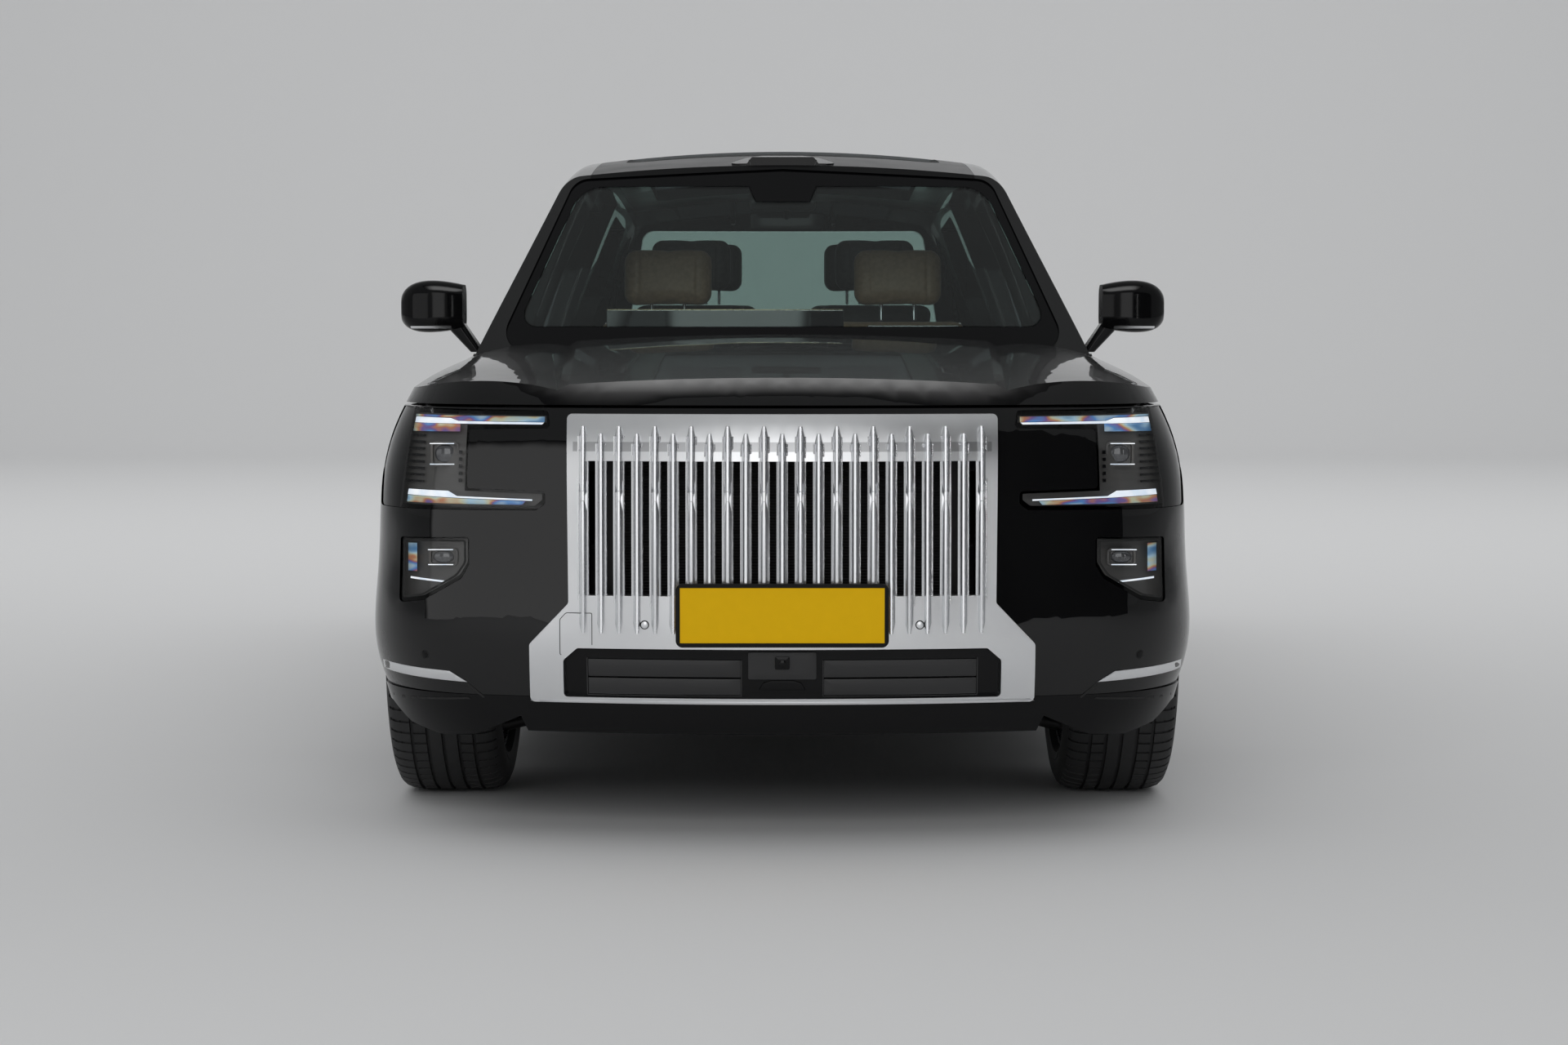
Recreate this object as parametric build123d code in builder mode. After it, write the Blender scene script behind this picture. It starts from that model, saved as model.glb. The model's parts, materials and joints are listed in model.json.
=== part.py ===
"""Large three-row crossover, built as separate panels, glass, lamps, seats, running gear and wheels.

Units are millimetres. The nose points along -Y, +X is the car's left side and Z is up from the ground.
The origin is on the ground, under the middle of the car's length and width.
"""

import os
from functools import lru_cache

from build123d import *

# ---------------------------------------------------------------- driving dimensions
LENGTH = 5239.0
WIDTH = 2029.0
HEIGHT = 1819.0
WHEELBASE = 3169.0
FRONT_OVERHANG = 919.5
GROUND_CLEARANCE = 205.0
SILL_Z = 220.0
BELT_Z = 1140.0
TRACK = 1711.0
NOSE_DEPTH = 45.0  # plate and grille bars stand this far in front of the bumper skin

PANEL_GAP = 7.0  # shut line round the bonnet and tailgate
DOOR_GAP = 9.0  # shut line in front of each side door
FIXED_GAP = 0.8  # joint between panels that don't move
SEAL_GAP = 14.0  # hidden gap between a door's slab and its pillar
SEAT_FIT = 0.3  # clearance between pieces that are bonded or bolted face to face
SKIN = 5.0  # thickness of a door's outer flange
DOOR_DEPTH = 110.0
FRAME_DEPTH = 45.0
FLANGE = 30.0  # how far a door's skin reaches past its slab
PILLAR_DEPTH = 94.0  # the pillars' outer face, inboard of the skin
WALL_DEPTH = 150.0
UPPER_PILLAR_DEPTH = 18.0
UPPER_WALL_DEPTH = 75.0
GLASS = 5.0

TYRE_RADIUS = 393.5
TYRE_WIDTH = 285.0
RIM_RADIUS = 285.0
ARCH_RADIUS = 440.0

NOSE_Y = -LENGTH / 2 + NOSE_DEPTH
TAIL_SWELL = 11.2  # the rear skin swells this far past its outlines
TAIL_Y = LENGTH / 2 - TAIL_SWELL
FRONT_AXLE_Y = -LENGTH / 2 + FRONT_OVERHANG
REAR_AXLE_Y = FRONT_AXLE_Y + WHEELBASE
WHEEL_X = TRACK / 2
KINGPIN_X = WHEEL_X - 30.5

DOOR_BOTTOM_Z = 362.0
DOOR_LEAD_Y = FRONT_AXLE_Y + ARCH_RADIUS + 250.0
PILLAR_B_Y = 92.0
DOOR_TAIL_Y = REAR_AXLE_Y - 285.0
HINGE_X = WIDTH / 2 - 26.0
REAR_HINGE_X = WIDTH / 2 - 21.5
HINGE_SETBACK = 60.0
HINGE_HEIGHTS = (450.0, 740.0)
PIN_RADIUS = 4.0
EYE_RADIUS = 7.5
PIN_FIT = 0.3

FLOOR_TOP = 316.0
BOOT_FLOOR_TOP = 480.0

WINDSCREEN_Y = -1180.0  # foot of the windscreen at the belt, on the centre line
WINDSCREEN_RUN = 760.0 / 560.0  # rearward travel for each unit of rise
WINDSCREEN_BOW = 150.0
BACKLIGHT_Y = 2480.0
BACKLIGHT_RUN = 240.0 / 560.0
BACKLIGHT_BOW = 60.0
GLASS_BOW_X = 870.0

BONNET_CUT_Z = 1032.0
BONNET_TAIL_Y = -1118.0
BONNET_AXIS_Y = BONNET_TAIL_Y + 26.0
BONNET_AXIS_Z = 1133.0
BONNET_HINGE_X = 790.0
BONNET_DEPTH = 24.0
BUMPER_DEPTH = 14.0
BUMPER_TOP_Z = 795.0
LIP_TOP_Z = 350.0

TAILGATE_FOOT_Z = 668.0
TAILGATE_LEAD_Y = 2130.0
TAILGATE_ROOF_GAP = 11.0  # wider than the other shut lines, as the leading edge swings up and forward
TAILGATE_AXIS_Y = TAILGATE_LEAD_Y + 60.0
TAILGATE_AXIS_Z = HEIGHT - 71.0
TAILGATE_HINGE_X = 200.0
TAILGATE_DEPTH = 90.0
TAILGATE_SKIN = 20.0
TAILGATE_FLANGE = 16.0

os.makedirs("parts", exist_ok=True)
made = []


def save(name, piece):
    """Labels a finished piece and writes it as its own STEP file."""
    piece.label = name
    export_step(piece, f"parts/{name}.step")
    made.append(name)


# ---------------------------------------------------------------- master forms
# Share of the way from sill to belt, then how far the skin stands in from the full width, nose and tail.
BODY_LEVELS = (
    (0.000, 42.0, 85.0, 95.0),
    (0.174, 11.0, 10.0, 20.0),
    (0.413, 0.0, 0.0, 0.0),
    (0.630, 10.0, 5.0, 48.0),
    (0.793, 36.0, 20.0, 66.0),
    (0.902, 78.0, 55.0, 84.0),
    (1.000, 122.0, 115.0, 110.0),
    (1.110, 215.0, 230.0, 160.0),  # only under the bonnet, above the belt
)
NOSE_BOW = 170.0
TAIL_BOW = 90.0
SIDE_BOW = 25.0
NOSE_CORNER = 330.0
TAIL_CORNER = 240.0


@lru_cache(maxsize=None)
def body_form(inset=0.0, under_bonnet=False):
    """The body below the belt, as a loft of plan outlines, taken in by inset all round."""
    with BuildPart() as form:
        for share, drop, nose, tail in BODY_LEVELS if under_bonnet else BODY_LEVELS[:-1]:
            half = WIDTH / 2 - drop - inset
            end = half - SIDE_BOW
            front = NOSE_Y + nose + inset
            back = TAIL_Y - tail - inset
            with BuildSketch(Plane.XY.offset(SILL_Z + share * (BELT_Z - SILL_Z))):
                with BuildLine():
                    ThreePointArc((-end, front + NOSE_BOW), (0, front), (end, front + NOSE_BOW))
                    ThreePointArc((end, front + NOSE_BOW), (half, 0), (end, back - TAIL_BOW))
                    ThreePointArc((end, back - TAIL_BOW), (0, back), (-end, back - TAIL_BOW))
                    ThreePointArc((-end, back - TAIL_BOW), (-half, 0), (-end, front + NOSE_BOW))
                make_face()
                fillet(vertices().sort_by(Axis.Y)[:2], NOSE_CORNER - inset)
                fillet(vertices().sort_by(Axis.Y)[-2:], TAIL_CORNER - inset)
        loft()
    return form.part


# Station along the car, half width at the belt, half width at the roof edge, then how far the roof edge
# and the roof's crown stand below the full height.
CABIN_STATIONS = (
    (-1500.0, 868.0, 662.0, 219.0, 179.0),
    (-420.0, 882.0, 668.0, 149.0, 107.0),
    (400.0, 888.0, 672.0, 57.0, 9.0),
    (1300.0, 884.0, 668.0, 63.0, 11.0),
    (2300.0, 862.0, 650.0, 107.0, 57.0),
    (2800.0, 846.0, 640.0, 147.0, 99.0),
)
CABIN_FOOT_Z = BELT_Z - 60.0
ROOF_CORNER = 85.0
SIDE_GLASS_BOW = 14.0


@lru_cache(maxsize=None)
def cabin_tube(inset):
    """The cabin's cross-section carried along the car: leaning sides under a crowned roof."""
    with BuildPart() as tube:
        for y, at_belt, at_roof, edge_drop, crown_drop in CABIN_STATIONS:
            top = at_roof - inset
            edge = HEIGHT - edge_drop - inset
            lean = (at_belt - at_roof) / (HEIGHT - edge_drop - BELT_Z)
            foot = at_belt - inset + lean * (BELT_Z - CABIN_FOOT_Z)
            mid = ((top + foot) / 2 + SIDE_GLASS_BOW, (edge + CABIN_FOOT_Z) / 2)
            with BuildSketch(Plane.XZ.offset(-y)):
                with BuildLine():
                    ThreePointArc((-top, edge), (0, HEIGHT - crown_drop - inset), (top, edge))
                    ThreePointArc((top, edge), mid, (foot, CABIN_FOOT_Z))
                    Line((foot, CABIN_FOOT_Z), (-foot, CABIN_FOOT_Z))
                    ThreePointArc((-foot, CABIN_FOOT_Z), (-mid[0], mid[1]), (-top, edge))
                make_face()
                fillet(vertices().sort_by(Axis.Y)[-2:], ROOF_CORNER - min(inset, 50))
        loft()
    return tube.part


@lru_cache(maxsize=None)
def cabin_wedge(inset):
    """Everything between the windscreen's surface and the backlight's."""
    reach = 960.0
    side = WIDTH / 2 + 100
    with BuildPart() as wedge:
        for z in (CABIN_FOOT_Z - 20, HEIGHT + 80):
            front = WINDSCREEN_Y + (z - BELT_Z) * WINDSCREEN_RUN + inset * 1.6
            back = BACKLIGHT_Y - (z - BELT_Z) * BACKLIGHT_RUN - inset * 1.1
            front_side = front + WINDSCREEN_BOW * (reach / GLASS_BOW_X) ** 2
            back_side = back - BACKLIGHT_BOW * (reach / GLASS_BOW_X) ** 2
            with BuildSketch(Plane.XY.offset(z)):
                with BuildLine():
                    ThreePointArc((-reach, front_side), (0, front), (reach, front_side))
                    Polyline((reach, front_side), (side, front_side + 60), (side, back_side - 60), (reach, back_side))
                    ThreePointArc((reach, back_side), (0, back), (-reach, back_side))
                    Polyline((-reach, back_side), (-side, back_side - 60), (-side, front_side + 60), (-reach, front_side))
                make_face()
        loft(ruled=True)
    return wedge.part


@lru_cache(maxsize=None)
def cabin_form(inset=0.0):
    """The cabin above the belt, taken in by inset all round."""
    with BuildPart() as form:
        add(cabin_tube(inset))
        add(cabin_wedge(inset), mode=Mode.INTERSECT)
    return form.part


# Station along the bonnet, then heights of the crown, of the foot of its centre panel and of the wing crown.
BONNET_STATIONS = (
    (NOSE_Y - 40, 1082.0, 1066.0, 1072.0),
    (NOSE_Y + 240, 1112.0, 1090.0, 1098.0),
    (NOSE_Y + 760, 1156.0, 1134.0, 1136.0),
    (WINDSCREEN_Y + 20, 1196.0, 1176.0, 1166.0),
    (WINDSCREEN_Y + 260, 1210.0, 1190.0, 1178.0),
)
BONNET_CREASE_X = 492.0
BONNET_STEP = 26.0
WING_X = 900.0


@lru_cache(maxsize=None)
def bonnet_form(inset=0.0):
    """Everything below the bonnet's surface: a raised centre panel between two creases, then the wing crowns."""
    with BuildPart() as form:
        for y, crown, foot, wing in BONNET_STATIONS:
            crease = BONNET_CREASE_X + max(0.0, (y - NOSE_Y) * 0.06)
            with BuildSketch(Plane.XZ.offset(-y)):
                with BuildLine():
                    low = SILL_Z - 50
                    ThreePointArc((-crease, foot - inset), (0, crown - inset), (crease, foot - inset))
                    for s in (-1, 1):
                        Line((s * crease, foot - inset), (s * (crease + BONNET_STEP), foot - 14 - inset))
                        ThreePointArc(
                            (s * (crease + BONNET_STEP), foot - 14 - inset),
                            (s * (crease + 190), wing - 6 - inset),
                            (s * WING_X, wing - 44 - inset),
                        )
                        Line((s * WING_X, wing - 44 - inset), (s * (WIDTH / 2 + 60), wing - 150 - inset))
                        Line((s * (WIDTH / 2 + 60), wing - 150 - inset), (s * (WIDTH / 2 + 60), low))
                    Line((-(WIDTH / 2 + 60), low), (WIDTH / 2 + 60, low))
                make_face()
        loft()
    return form.part


# ---------------------------------------------------------------- shaping helpers
def block(x0, x1, y0, y1, z0, z1):
    """A plain box between two corners."""
    with BuildPart() as piece:
        with Locations(((x0 + x1) / 2, (y0 + y1) / 2, (z0 + z1) / 2)):
            Box(x1 - x0, y1 - y0, z1 - z0)
    return piece.part


def side_prism(points, x0, x1, corner=0.0, grow=0.0, arch=0.0):
    """A side-view outline carried across the car; arch cuts a round bite for the rear wheel."""
    with BuildPart() as piece:
        with BuildSketch(Plane.YZ.offset(x0)):
            with BuildLine():
                Polyline(*points, close=True)
            make_face()
            if corner:
                fillet(vertices(), corner)
            if arch:
                with Locations((REAR_AXLE_Y, TYRE_RADIUS)):
                    Circle(arch, mode=Mode.SUBTRACT)
            if grow:
                offset(amount=grow)
        extrude(amount=x1 - x0)
    return piece.part


def front_prism(points, y0, y1, corner=0.0, grow=0.0):
    """A front-view outline carried along the car."""
    with BuildPart() as piece:
        with BuildSketch(Plane.XZ.offset(-y1)):
            with BuildLine():
                Polyline(*points, close=True)
            make_face()
            if corner:
                fillet(vertices(), corner)
            if grow:
                offset(amount=grow)
        extrude(amount=y1 - y0)
    return piece.part


def arch_drum(y, radius, x0, x1):
    """A round bar across the car, centred on an axle."""
    with BuildPart() as piece:
        with BuildSketch(Plane.YZ.offset(x0)):
            with Locations((y, TYRE_RADIUS)):
                Circle(radius)
        extrude(amount=x1 - x0)
    return piece.part


def join(*pieces):
    with BuildPart() as whole:
        for piece in pieces:
            add(piece)
    return whole.part


def cut(base, *tools):
    with BuildPart() as left:
        add(base)
        for tool in tools:
            add(tool, mode=Mode.SUBTRACT)
    return left.part


def common(base, *tools):
    with BuildPart() as shared:
        add(base)
        for tool in tools:
            add(tool, mode=Mode.INTERSECT)
    return shared.part


def flip(piece):
    """The same piece on the car's other side."""
    with BuildPart() as other:
        mirror(piece, about=Plane.YZ)
    return other.part


def both(piece):
    return join(piece, flip(piece))


def largest(piece):
    """Drops loose slivers left by a cut and keeps the main solid."""
    with BuildPart() as main:
        add(piece.solids().sort_by(SortBy.VOLUME)[-1])
    return main.part


def bar(start, end, radius):
    """A round bar between two points."""
    with BuildPart() as piece:
        with BuildLine() as path:
            Line(start, end)
        with BuildSketch(path.line ^ 0):
            Circle(radius)
        sweep()
    return piece.part


def post(x, y, z0, z1, radius):
    """An upright round pin."""
    with BuildPart() as piece:
        with BuildSketch(Plane.XY.offset(z0)):
            with Locations((x, y)):
                Circle(radius)
        extrude(amount=z1 - z0)
    return piece.part


def plate(points, x0, x1, eye, eye_radius, bore):
    """A flat side-view plate whose eye is bored for a pin across the car."""
    with BuildPart() as piece:
        with BuildSketch(Plane.YZ.offset(x0)):
            with BuildLine():
                Polyline(*points, close=True)
            make_face()
            with Locations(eye):
                Circle(eye_radius)
                Circle(bore, mode=Mode.SUBTRACT)
        extrude(amount=x1 - x0)
    return piece.part


def cross_pin(x0, x1, eye, radius):
    """A pin across the car."""
    with BuildPart() as piece:
        with BuildSketch(Plane.YZ.offset(x0)):
            with Locations(eye):
                Circle(radius)
        extrude(amount=x1 - x0)
    return piece.part


FAR = 3000.0
LEFT = block(380, FAR, -FAR, FAR, -100, 2200)


def shell_side(inset_low, inset_high):
    """The car's left half, below and above the belt, taken in by two different depths."""
    low = common(body_form(inset_low), LEFT)
    high = common(cabin_form(inset_high), LEFT)
    return join(low, high)


# ---------------------------------------------------------------- side view outlines
FRONT_DOOR = (
    (DOOR_LEAD_Y, DOOR_BOTTOM_Z),
    (DOOR_LEAD_Y, BELT_Z - 32),
    (DOOR_LEAD_Y + 95, BELT_Z + 6),
    (-245, HEIGHT - 157),
    (PILLAR_B_Y + 8, HEIGHT - 124),
    (PILLAR_B_Y - 12, DOOR_BOTTOM_Z),
)
REAR_DOOR = (
    (PILLAR_B_Y - 12 + DOOR_GAP, DOOR_BOTTOM_Z),
    (PILLAR_B_Y + 8 + DOOR_GAP, HEIGHT - 122),
    (700, HEIGHT - 109),
    (DOOR_TAIL_Y - 44, HEIGHT - 131),
    (DOOR_TAIL_Y + 31, BELT_Z + 300),
    (DOOR_TAIL_Y + 16, BELT_Z),
    (DOOR_TAIL_Y + 6, DOOR_BOTTOM_Z),
)
DOOR_ARCH = ARCH_RADIUS + 34.0
FRONT_WINDOW = (
    (DOOR_LEAD_Y + 235, BELT_Z + 28),
    (-212, HEIGHT - 206),
    (PILLAR_B_Y - 52, HEIGHT - 180),
    (PILLAR_B_Y - 62, BELT_Z + 28),
)
REAR_WINDOW = (
    (PILLAR_B_Y + 70, BELT_Z + 28),
    (PILLAR_B_Y + 76, HEIGHT - 176),
    (700, HEIGHT - 164),
    (DOOR_TAIL_Y - 92, HEIGHT - 186),
    (DOOR_TAIL_Y - 34, BELT_Z + 290),
    (DOOR_TAIL_Y - 46, BELT_Z + 28),
)
QUARTER_WINDOW = (
    (DOOR_TAIL_Y + 110, BELT_Z + 30),
    (DOOR_TAIL_Y + 118, BELT_Z + 290),
    (DOOR_TAIL_Y + 62, HEIGHT - 186),
    (DOOR_TAIL_Y + 620, HEIGHT - 218),
    (DOOR_TAIL_Y + 860, BELT_Z + 210),
    (DOOR_TAIL_Y + 820, BELT_Z + 40),
)

# front view outlines, left half or whole
WINDSCREEN = (
    (-822, BELT_Z + 10),
    (822, BELT_Z + 10),
    (640, HEIGHT - 147),
    (0, HEIGHT - 117),
    (-640, HEIGHT - 147),
)
BACKLIGHT = (
    (-640, BELT_Z + 30),
    (640, BELT_Z + 30),
    (560, HEIGHT - 210),
    (-560, HEIGHT - 210),
)
TAILGATE = (
    (-690, TAILGATE_FOOT_Z),
    (690, TAILGATE_FOOT_Z),
    (760, BELT_Z - 140),
    (735, BELT_Z + 40),
    (596, HEIGHT - 120),
    (596, HEIGHT + 60),
    (-596, HEIGHT + 60),
    (-596, HEIGHT - 120),
    (-735, BELT_Z + 40),
    (-760, BELT_Z - 140),
)
ROOF_X = 592.0
QUARTER_TAIL_Y = TAIL_Y - 560.0
QUARTER_FOOT_Z = TYRE_RADIUS + 60.0
TAIL_LAMP_Y = TAIL_Y - 330.0
TAIL_LAMP_Z = (905.0, 1040.0)
LAMP_DEPTH = 66.0

# ---------------------------------------------------------------- doors and their glass
side_0 = shell_side(0, 0)
side_skin = shell_side(SKIN, SKIN)
door_inner = shell_side(DOOR_DEPTH, FRAME_DEPTH)
glass_band = cut(
    common(cabin_form(12), LEFT, block(380, FAR, -FAR, FAR, BELT_Z - 58, FAR)), cabin_form(12 + GLASS)
)


HINGE_TALL = 50.0
HINGE_ARM = 12.0
HINGE_REACH = 112.0  # from the pin to the inner face of the arm's upright


def hinge_pocket(x, y, z):
    """The corner of the door's slab that makes room for a hinge arm over the door's whole swing."""
    tall = HINGE_TALL / 2 + 5
    return block(x - DOOR_DEPTH - 5, x + EYE_RADIUS + 2, y - FLANGE - 1, y + 14, z - tall, z + tall)


def hinge_arm(x, y, z):
    """A cranked arm from the pillar to the door's pin."""
    low = z - HINGE_TALL / 2
    with BuildPart() as arm:
        with BuildSketch(Plane.XY.offset(low)):
            with BuildLine():
                Polyline(
                    (x, y),
                    (x - HINGE_REACH, y),
                    (x - HINGE_REACH, y - HINGE_SETBACK + FLANGE - SEAL_GAP - 2),
                    (x - HINGE_REACH + 16, y - HINGE_SETBACK + FLANGE - SEAL_GAP - 2),
                    (x - HINGE_REACH + 16, y - HINGE_ARM),
                    (x - 2 * EYE_RADIUS, y - HINGE_ARM),
                    (x, y - EYE_RADIUS + 1),
                    close=True,
                )
            make_face()
            with Locations((x, y)):
                Circle(EYE_RADIUS)
                Circle(PIN_RADIUS + PIN_FIT, mode=Mode.SUBTRACT)
        extrude(amount=HINGE_TALL)
    return arm.part


def make_door(outline, window, arch, hinge_x):
    whole = common(side_0, side_prism(outline, 400, 1100, 30, 0, arch))
    core = side_prism(outline, 400, 1100, 30, -FLANGE, arch)
    rebate = cut(side_skin, core)
    hinge_y = min(y for y, z in outline) + HINGE_SETBACK
    pockets = [hinge_pocket(hinge_x, hinge_y, z) for z in HINGE_HEIGHTS]
    slab = cut(whole, rebate, door_inner, side_prism(window, 400, 1100, 24), *pockets)
    half = HINGE_TALL / 2 + 6
    return join(slab, *[post(hinge_x, hinge_y, z - half, z + half, PIN_RADIUS) for z in HINGE_HEIGHTS])


def make_glass(window):
    return common(glass_band, side_prism(window, 400, 1100, 24, -SEAT_FIT))


front_door = make_door(FRONT_DOOR, FRONT_WINDOW, 0, HINGE_X)
rear_door = make_door(REAR_DOOR, REAR_WINDOW, DOOR_ARCH, REAR_HINGE_X)
front_glass = make_glass(FRONT_WINDOW)
rear_glass = make_glass(REAR_WINDOW)
for end, door, glass in (("front", front_door, front_glass), ("rear", rear_door, rear_glass)):
    save(f"door_{end}_left", door)
    save(f"door_{end}_right", flip(door))
    save(f"door_glass_{end}_left", glass)
    save(f"door_glass_{end}_right", flip(glass))

# ---------------------------------------------------------------- door mirrors, standing on the front doors
with BuildPart() as mirror_left:
    with BuildSketch(Plane.YZ.offset(930)):
        with Locations((DOOR_LEAD_Y + 150, BELT_Z + 137)):
            RectangleRounded(110, 126, 34)
    with BuildSketch(Plane.YZ.offset(1010)):
        with Locations((DOOR_LEAD_Y + 150, BELT_Z + 137)):
            RectangleRounded(150, 150, 44)
    with BuildSketch(Plane.YZ.offset(1090)):
        with Locations((DOOR_LEAD_Y + 156, BELT_Z + 134)):
            RectangleRounded(118, 122, 36)
    with BuildSketch(Plane.YZ.offset(1112)):
        with Locations((DOOR_LEAD_Y + 160, BELT_Z + 132)):
            RectangleRounded(70, 78, 28)
    loft()
    with BuildSketch(Plane.XY.offset(BELT_Z + 4)):
        with Locations((894, DOOR_LEAD_Y + 175)):
            RectangleRounded(34, 110, 14)
    with BuildSketch(Plane.XY.offset(BELT_Z + 90)):
        with Locations((962, DOOR_LEAD_Y + 160)):
            RectangleRounded(60, 96, 20)
    loft()
mirror_piece = cut(mirror_left.part, common(side_0, block(600, 1200, -1100, -600, 900, 1300)))
save("mirror_left", mirror_piece)
save("mirror_right", flip(mirror_piece))

# ---------------------------------------------------------------- side frames: sills, pillars, roof rails, quarters
rail = cut(side_0, shell_side(WALL_DEPTH, UPPER_WALL_DEPTH))
pillar_face = cut(LEFT, shell_side(PILLAR_DEPTH, UPPER_PILLAR_DEPTH))
frame_cuts = [
    common(side_prism(FRONT_DOOR, 400, 1100, 30, DOOR_GAP), pillar_face),
    common(side_prism(REAR_DOOR, 400, 1100, 30, DOOR_GAP, DOOR_ARCH), pillar_face),
    side_prism(FRONT_DOOR, 400, 1100, 30, -FLANGE + SEAL_GAP),
    side_prism(REAR_DOOR, 400, 1100, 30, -FLANGE + SEAL_GAP, DOOR_ARCH),
]
nose_end = DOOR_LEAD_Y - 60
windscreen_seat = cut(front_prism(WINDSCREEN, -1300, -200, 60, FIXED_GAP), cabin_form(5 + GLASS + SEAT_FIT))
windscreen_hole = front_prism(WINDSCREEN, -1300, -200, 44, -16)
tailgate_cut = front_prism(TAILGATE, TAILGATE_LEAD_Y - TAILGATE_ROOF_GAP, FAR, 0, PANEL_GAP)
side_frame = cut(
    rail,
    *frame_cuts,
    block(380, FAR, -FAR, FRONT_AXLE_Y + ARCH_RADIUS + 8, 0, BELT_Z + 0.1),
    common(block(380, FAR, -FAR, DOOR_LEAD_Y, DOOR_BOTTOM_Z - FIXED_GAP, BELT_Z + 0.1), pillar_face),
    block(380, FAR, -FAR, nose_end, DOOR_BOTTOM_Z - FIXED_GAP, BELT_Z + 0.1),
    block(380, FAR, -FAR, DOOR_LEAD_Y - 58, BELT_Z, BELT_Z + 40),
    arch_drum(REAR_AXLE_Y, ARCH_RADIUS, 400, 1100),
    windscreen_seat,
    windscreen_hole,
    block(380, ROOF_X + FIXED_GAP, -FAR, FAR, HEIGHT - 250, FAR),
    tailgate_cut,
    side_prism(QUARTER_WINDOW, 400, 1100, 40),
    block(380, FAR, QUARTER_TAIL_Y, FAR, 0, TAILGATE_FOOT_Z - PANEL_GAP + FIXED_GAP),
    block(380, FAR, REAR_AXLE_Y, FAR, 0, QUARTER_FOOT_Z),
    common(
        block(700, FAR, TAIL_LAMP_Y - FIXED_GAP, FAR, TAIL_LAMP_Z[0] - FIXED_GAP, TAIL_LAMP_Z[1] + FIXED_GAP),
        cut(LEFT, body_form(LAMP_DEPTH + SEAT_FIT)),
    ),
)
hinge_arms = [
    hinge_arm(x, min(y for y, z in outline) + HINGE_SETBACK, height)
    for outline, x in ((FRONT_DOOR, HINGE_X), (REAR_DOOR, REAR_HINGE_X))
    for height in HINGE_HEIGHTS
]
side_frame = join(side_frame, *hinge_arms)
save("side_frames", both(side_frame))

# ---------------------------------------------------------------- fixed glass
glass_shell = cut(cabin_form(5), cabin_form(5 + GLASS))
windscreen = common(glass_shell, front_prism(WINDSCREEN, -1300, -250, 60, 0))
save("windscreen", windscreen)
save("quarter_windows", both(common(glass_band, side_prism(QUARTER_WINDOW, 400, 1100, 40, -SEAT_FIT))))

# ---------------------------------------------------------------- roof, its glass and the sensor over the windscreen
ROOF_DEPTH = 42.0
ROOF_PANE = 8.0
HATCH_X = 505.0
HATCH_Y = (-70.0, 1830.0)
HATCH_LEDGE = 16.0


def hatch_prism(shrink):
    """The roof glass's plan outline, taken in all round and carried up through the roof."""
    with BuildPart() as piece:
        with BuildSketch(Plane.XY.offset(HEIGHT - 220)):
            with Locations((0, sum(HATCH_Y) / 2)):
                RectangleRounded(2 * (HATCH_X - shrink), HATCH_Y[1] - HATCH_Y[0] - 2 * shrink, 70 - shrink)
        extrude(amount=400)
    return piece.part


roof_box = block(-ROOF_X, ROOF_X, -FAR, TAILGATE_LEAD_Y - TAILGATE_ROOF_GAP, HEIGHT - 250, FAR)
roof_whole = cut(
    common(cut(cabin_form(0), cabin_form(ROOF_DEPTH)), roof_box),
    windscreen_seat,
    windscreen_hole,
)
with BuildPart() as sensor_blank:
    with BuildSketch(Plane.XY.offset(HEIGHT - 150)):
        with BuildLine():
            Polyline((-168, -372), (168, -372), (108, -175), (-108, -175), close=True)
        make_face()
        fillet(vertices(), 26)
    extrude(amount=220)
with BuildPart() as sensor:
    with BuildSketch(Plane.XZ.offset(395)):
        with BuildLine():
            Polyline((-132, HEIGHT - 128), (132, HEIGHT - 128), (96, HEIGHT - 78), (-96, HEIGHT - 78), close=True)
        make_face()
        fillet(vertices(), 12)
    with BuildSketch(Plane.XZ.offset(170)):
        with BuildLine():
            Polyline((-104, HEIGHT - 120), (104, HEIGHT - 120), (70, HEIGHT - 60), (-70, HEIGHT - 60), close=True)
        make_face()
        fillet(vertices(), 12)
    loft()
sensor_piece = join(sensor.part, common(sensor_blank.part, cut(cabin_form(-4), cabin_form(20))))
save("roof_sensor", sensor_piece)
roof_sheet = cut(
    roof_whole,
    cut(hatch_prism(0), cabin_form(1 + ROOF_PANE + SEAT_FIT)),
    hatch_prism(HATCH_LEDGE),
    sensor_piece,
)
tailgate_eye = (TAILGATE_AXIS_Y, TAILGATE_AXIS_Z)
ARM_DROP = 112.0
ARM_LEAD = 88.0
ARM_WIDE = 16.0
gooseneck = plate(
    [
        (TAILGATE_AXIS_Y + EYE_RADIUS, TAILGATE_AXIS_Z),
        (TAILGATE_AXIS_Y + EYE_RADIUS, TAILGATE_AXIS_Z - ARM_DROP),
        (TAILGATE_AXIS_Y - ARM_LEAD, TAILGATE_AXIS_Z - ARM_DROP),
        (TAILGATE_AXIS_Y - ARM_LEAD, TAILGATE_AXIS_Z - ARM_WIDE),
        (TAILGATE_AXIS_Y - ARM_LEAD + ARM_WIDE, TAILGATE_AXIS_Z - ARM_WIDE),
        (TAILGATE_AXIS_Y - ARM_LEAD + ARM_WIDE, TAILGATE_AXIS_Z - ARM_DROP + ARM_WIDE),
        (TAILGATE_AXIS_Y - EYE_RADIUS, TAILGATE_AXIS_Z - ARM_DROP + ARM_WIDE),
        (TAILGATE_AXIS_Y - EYE_RADIUS, TAILGATE_AXIS_Z),
    ],
    TAILGATE_HINGE_X - ARM_WIDE / 2,
    TAILGATE_HINGE_X + ARM_WIDE / 2,
    tailgate_eye,
    EYE_RADIUS,
    PIN_RADIUS + PIN_FIT,
)
roof_panel = join(roof_sheet, gooseneck, flip(gooseneck))
save("roof_panel", roof_panel)
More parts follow.
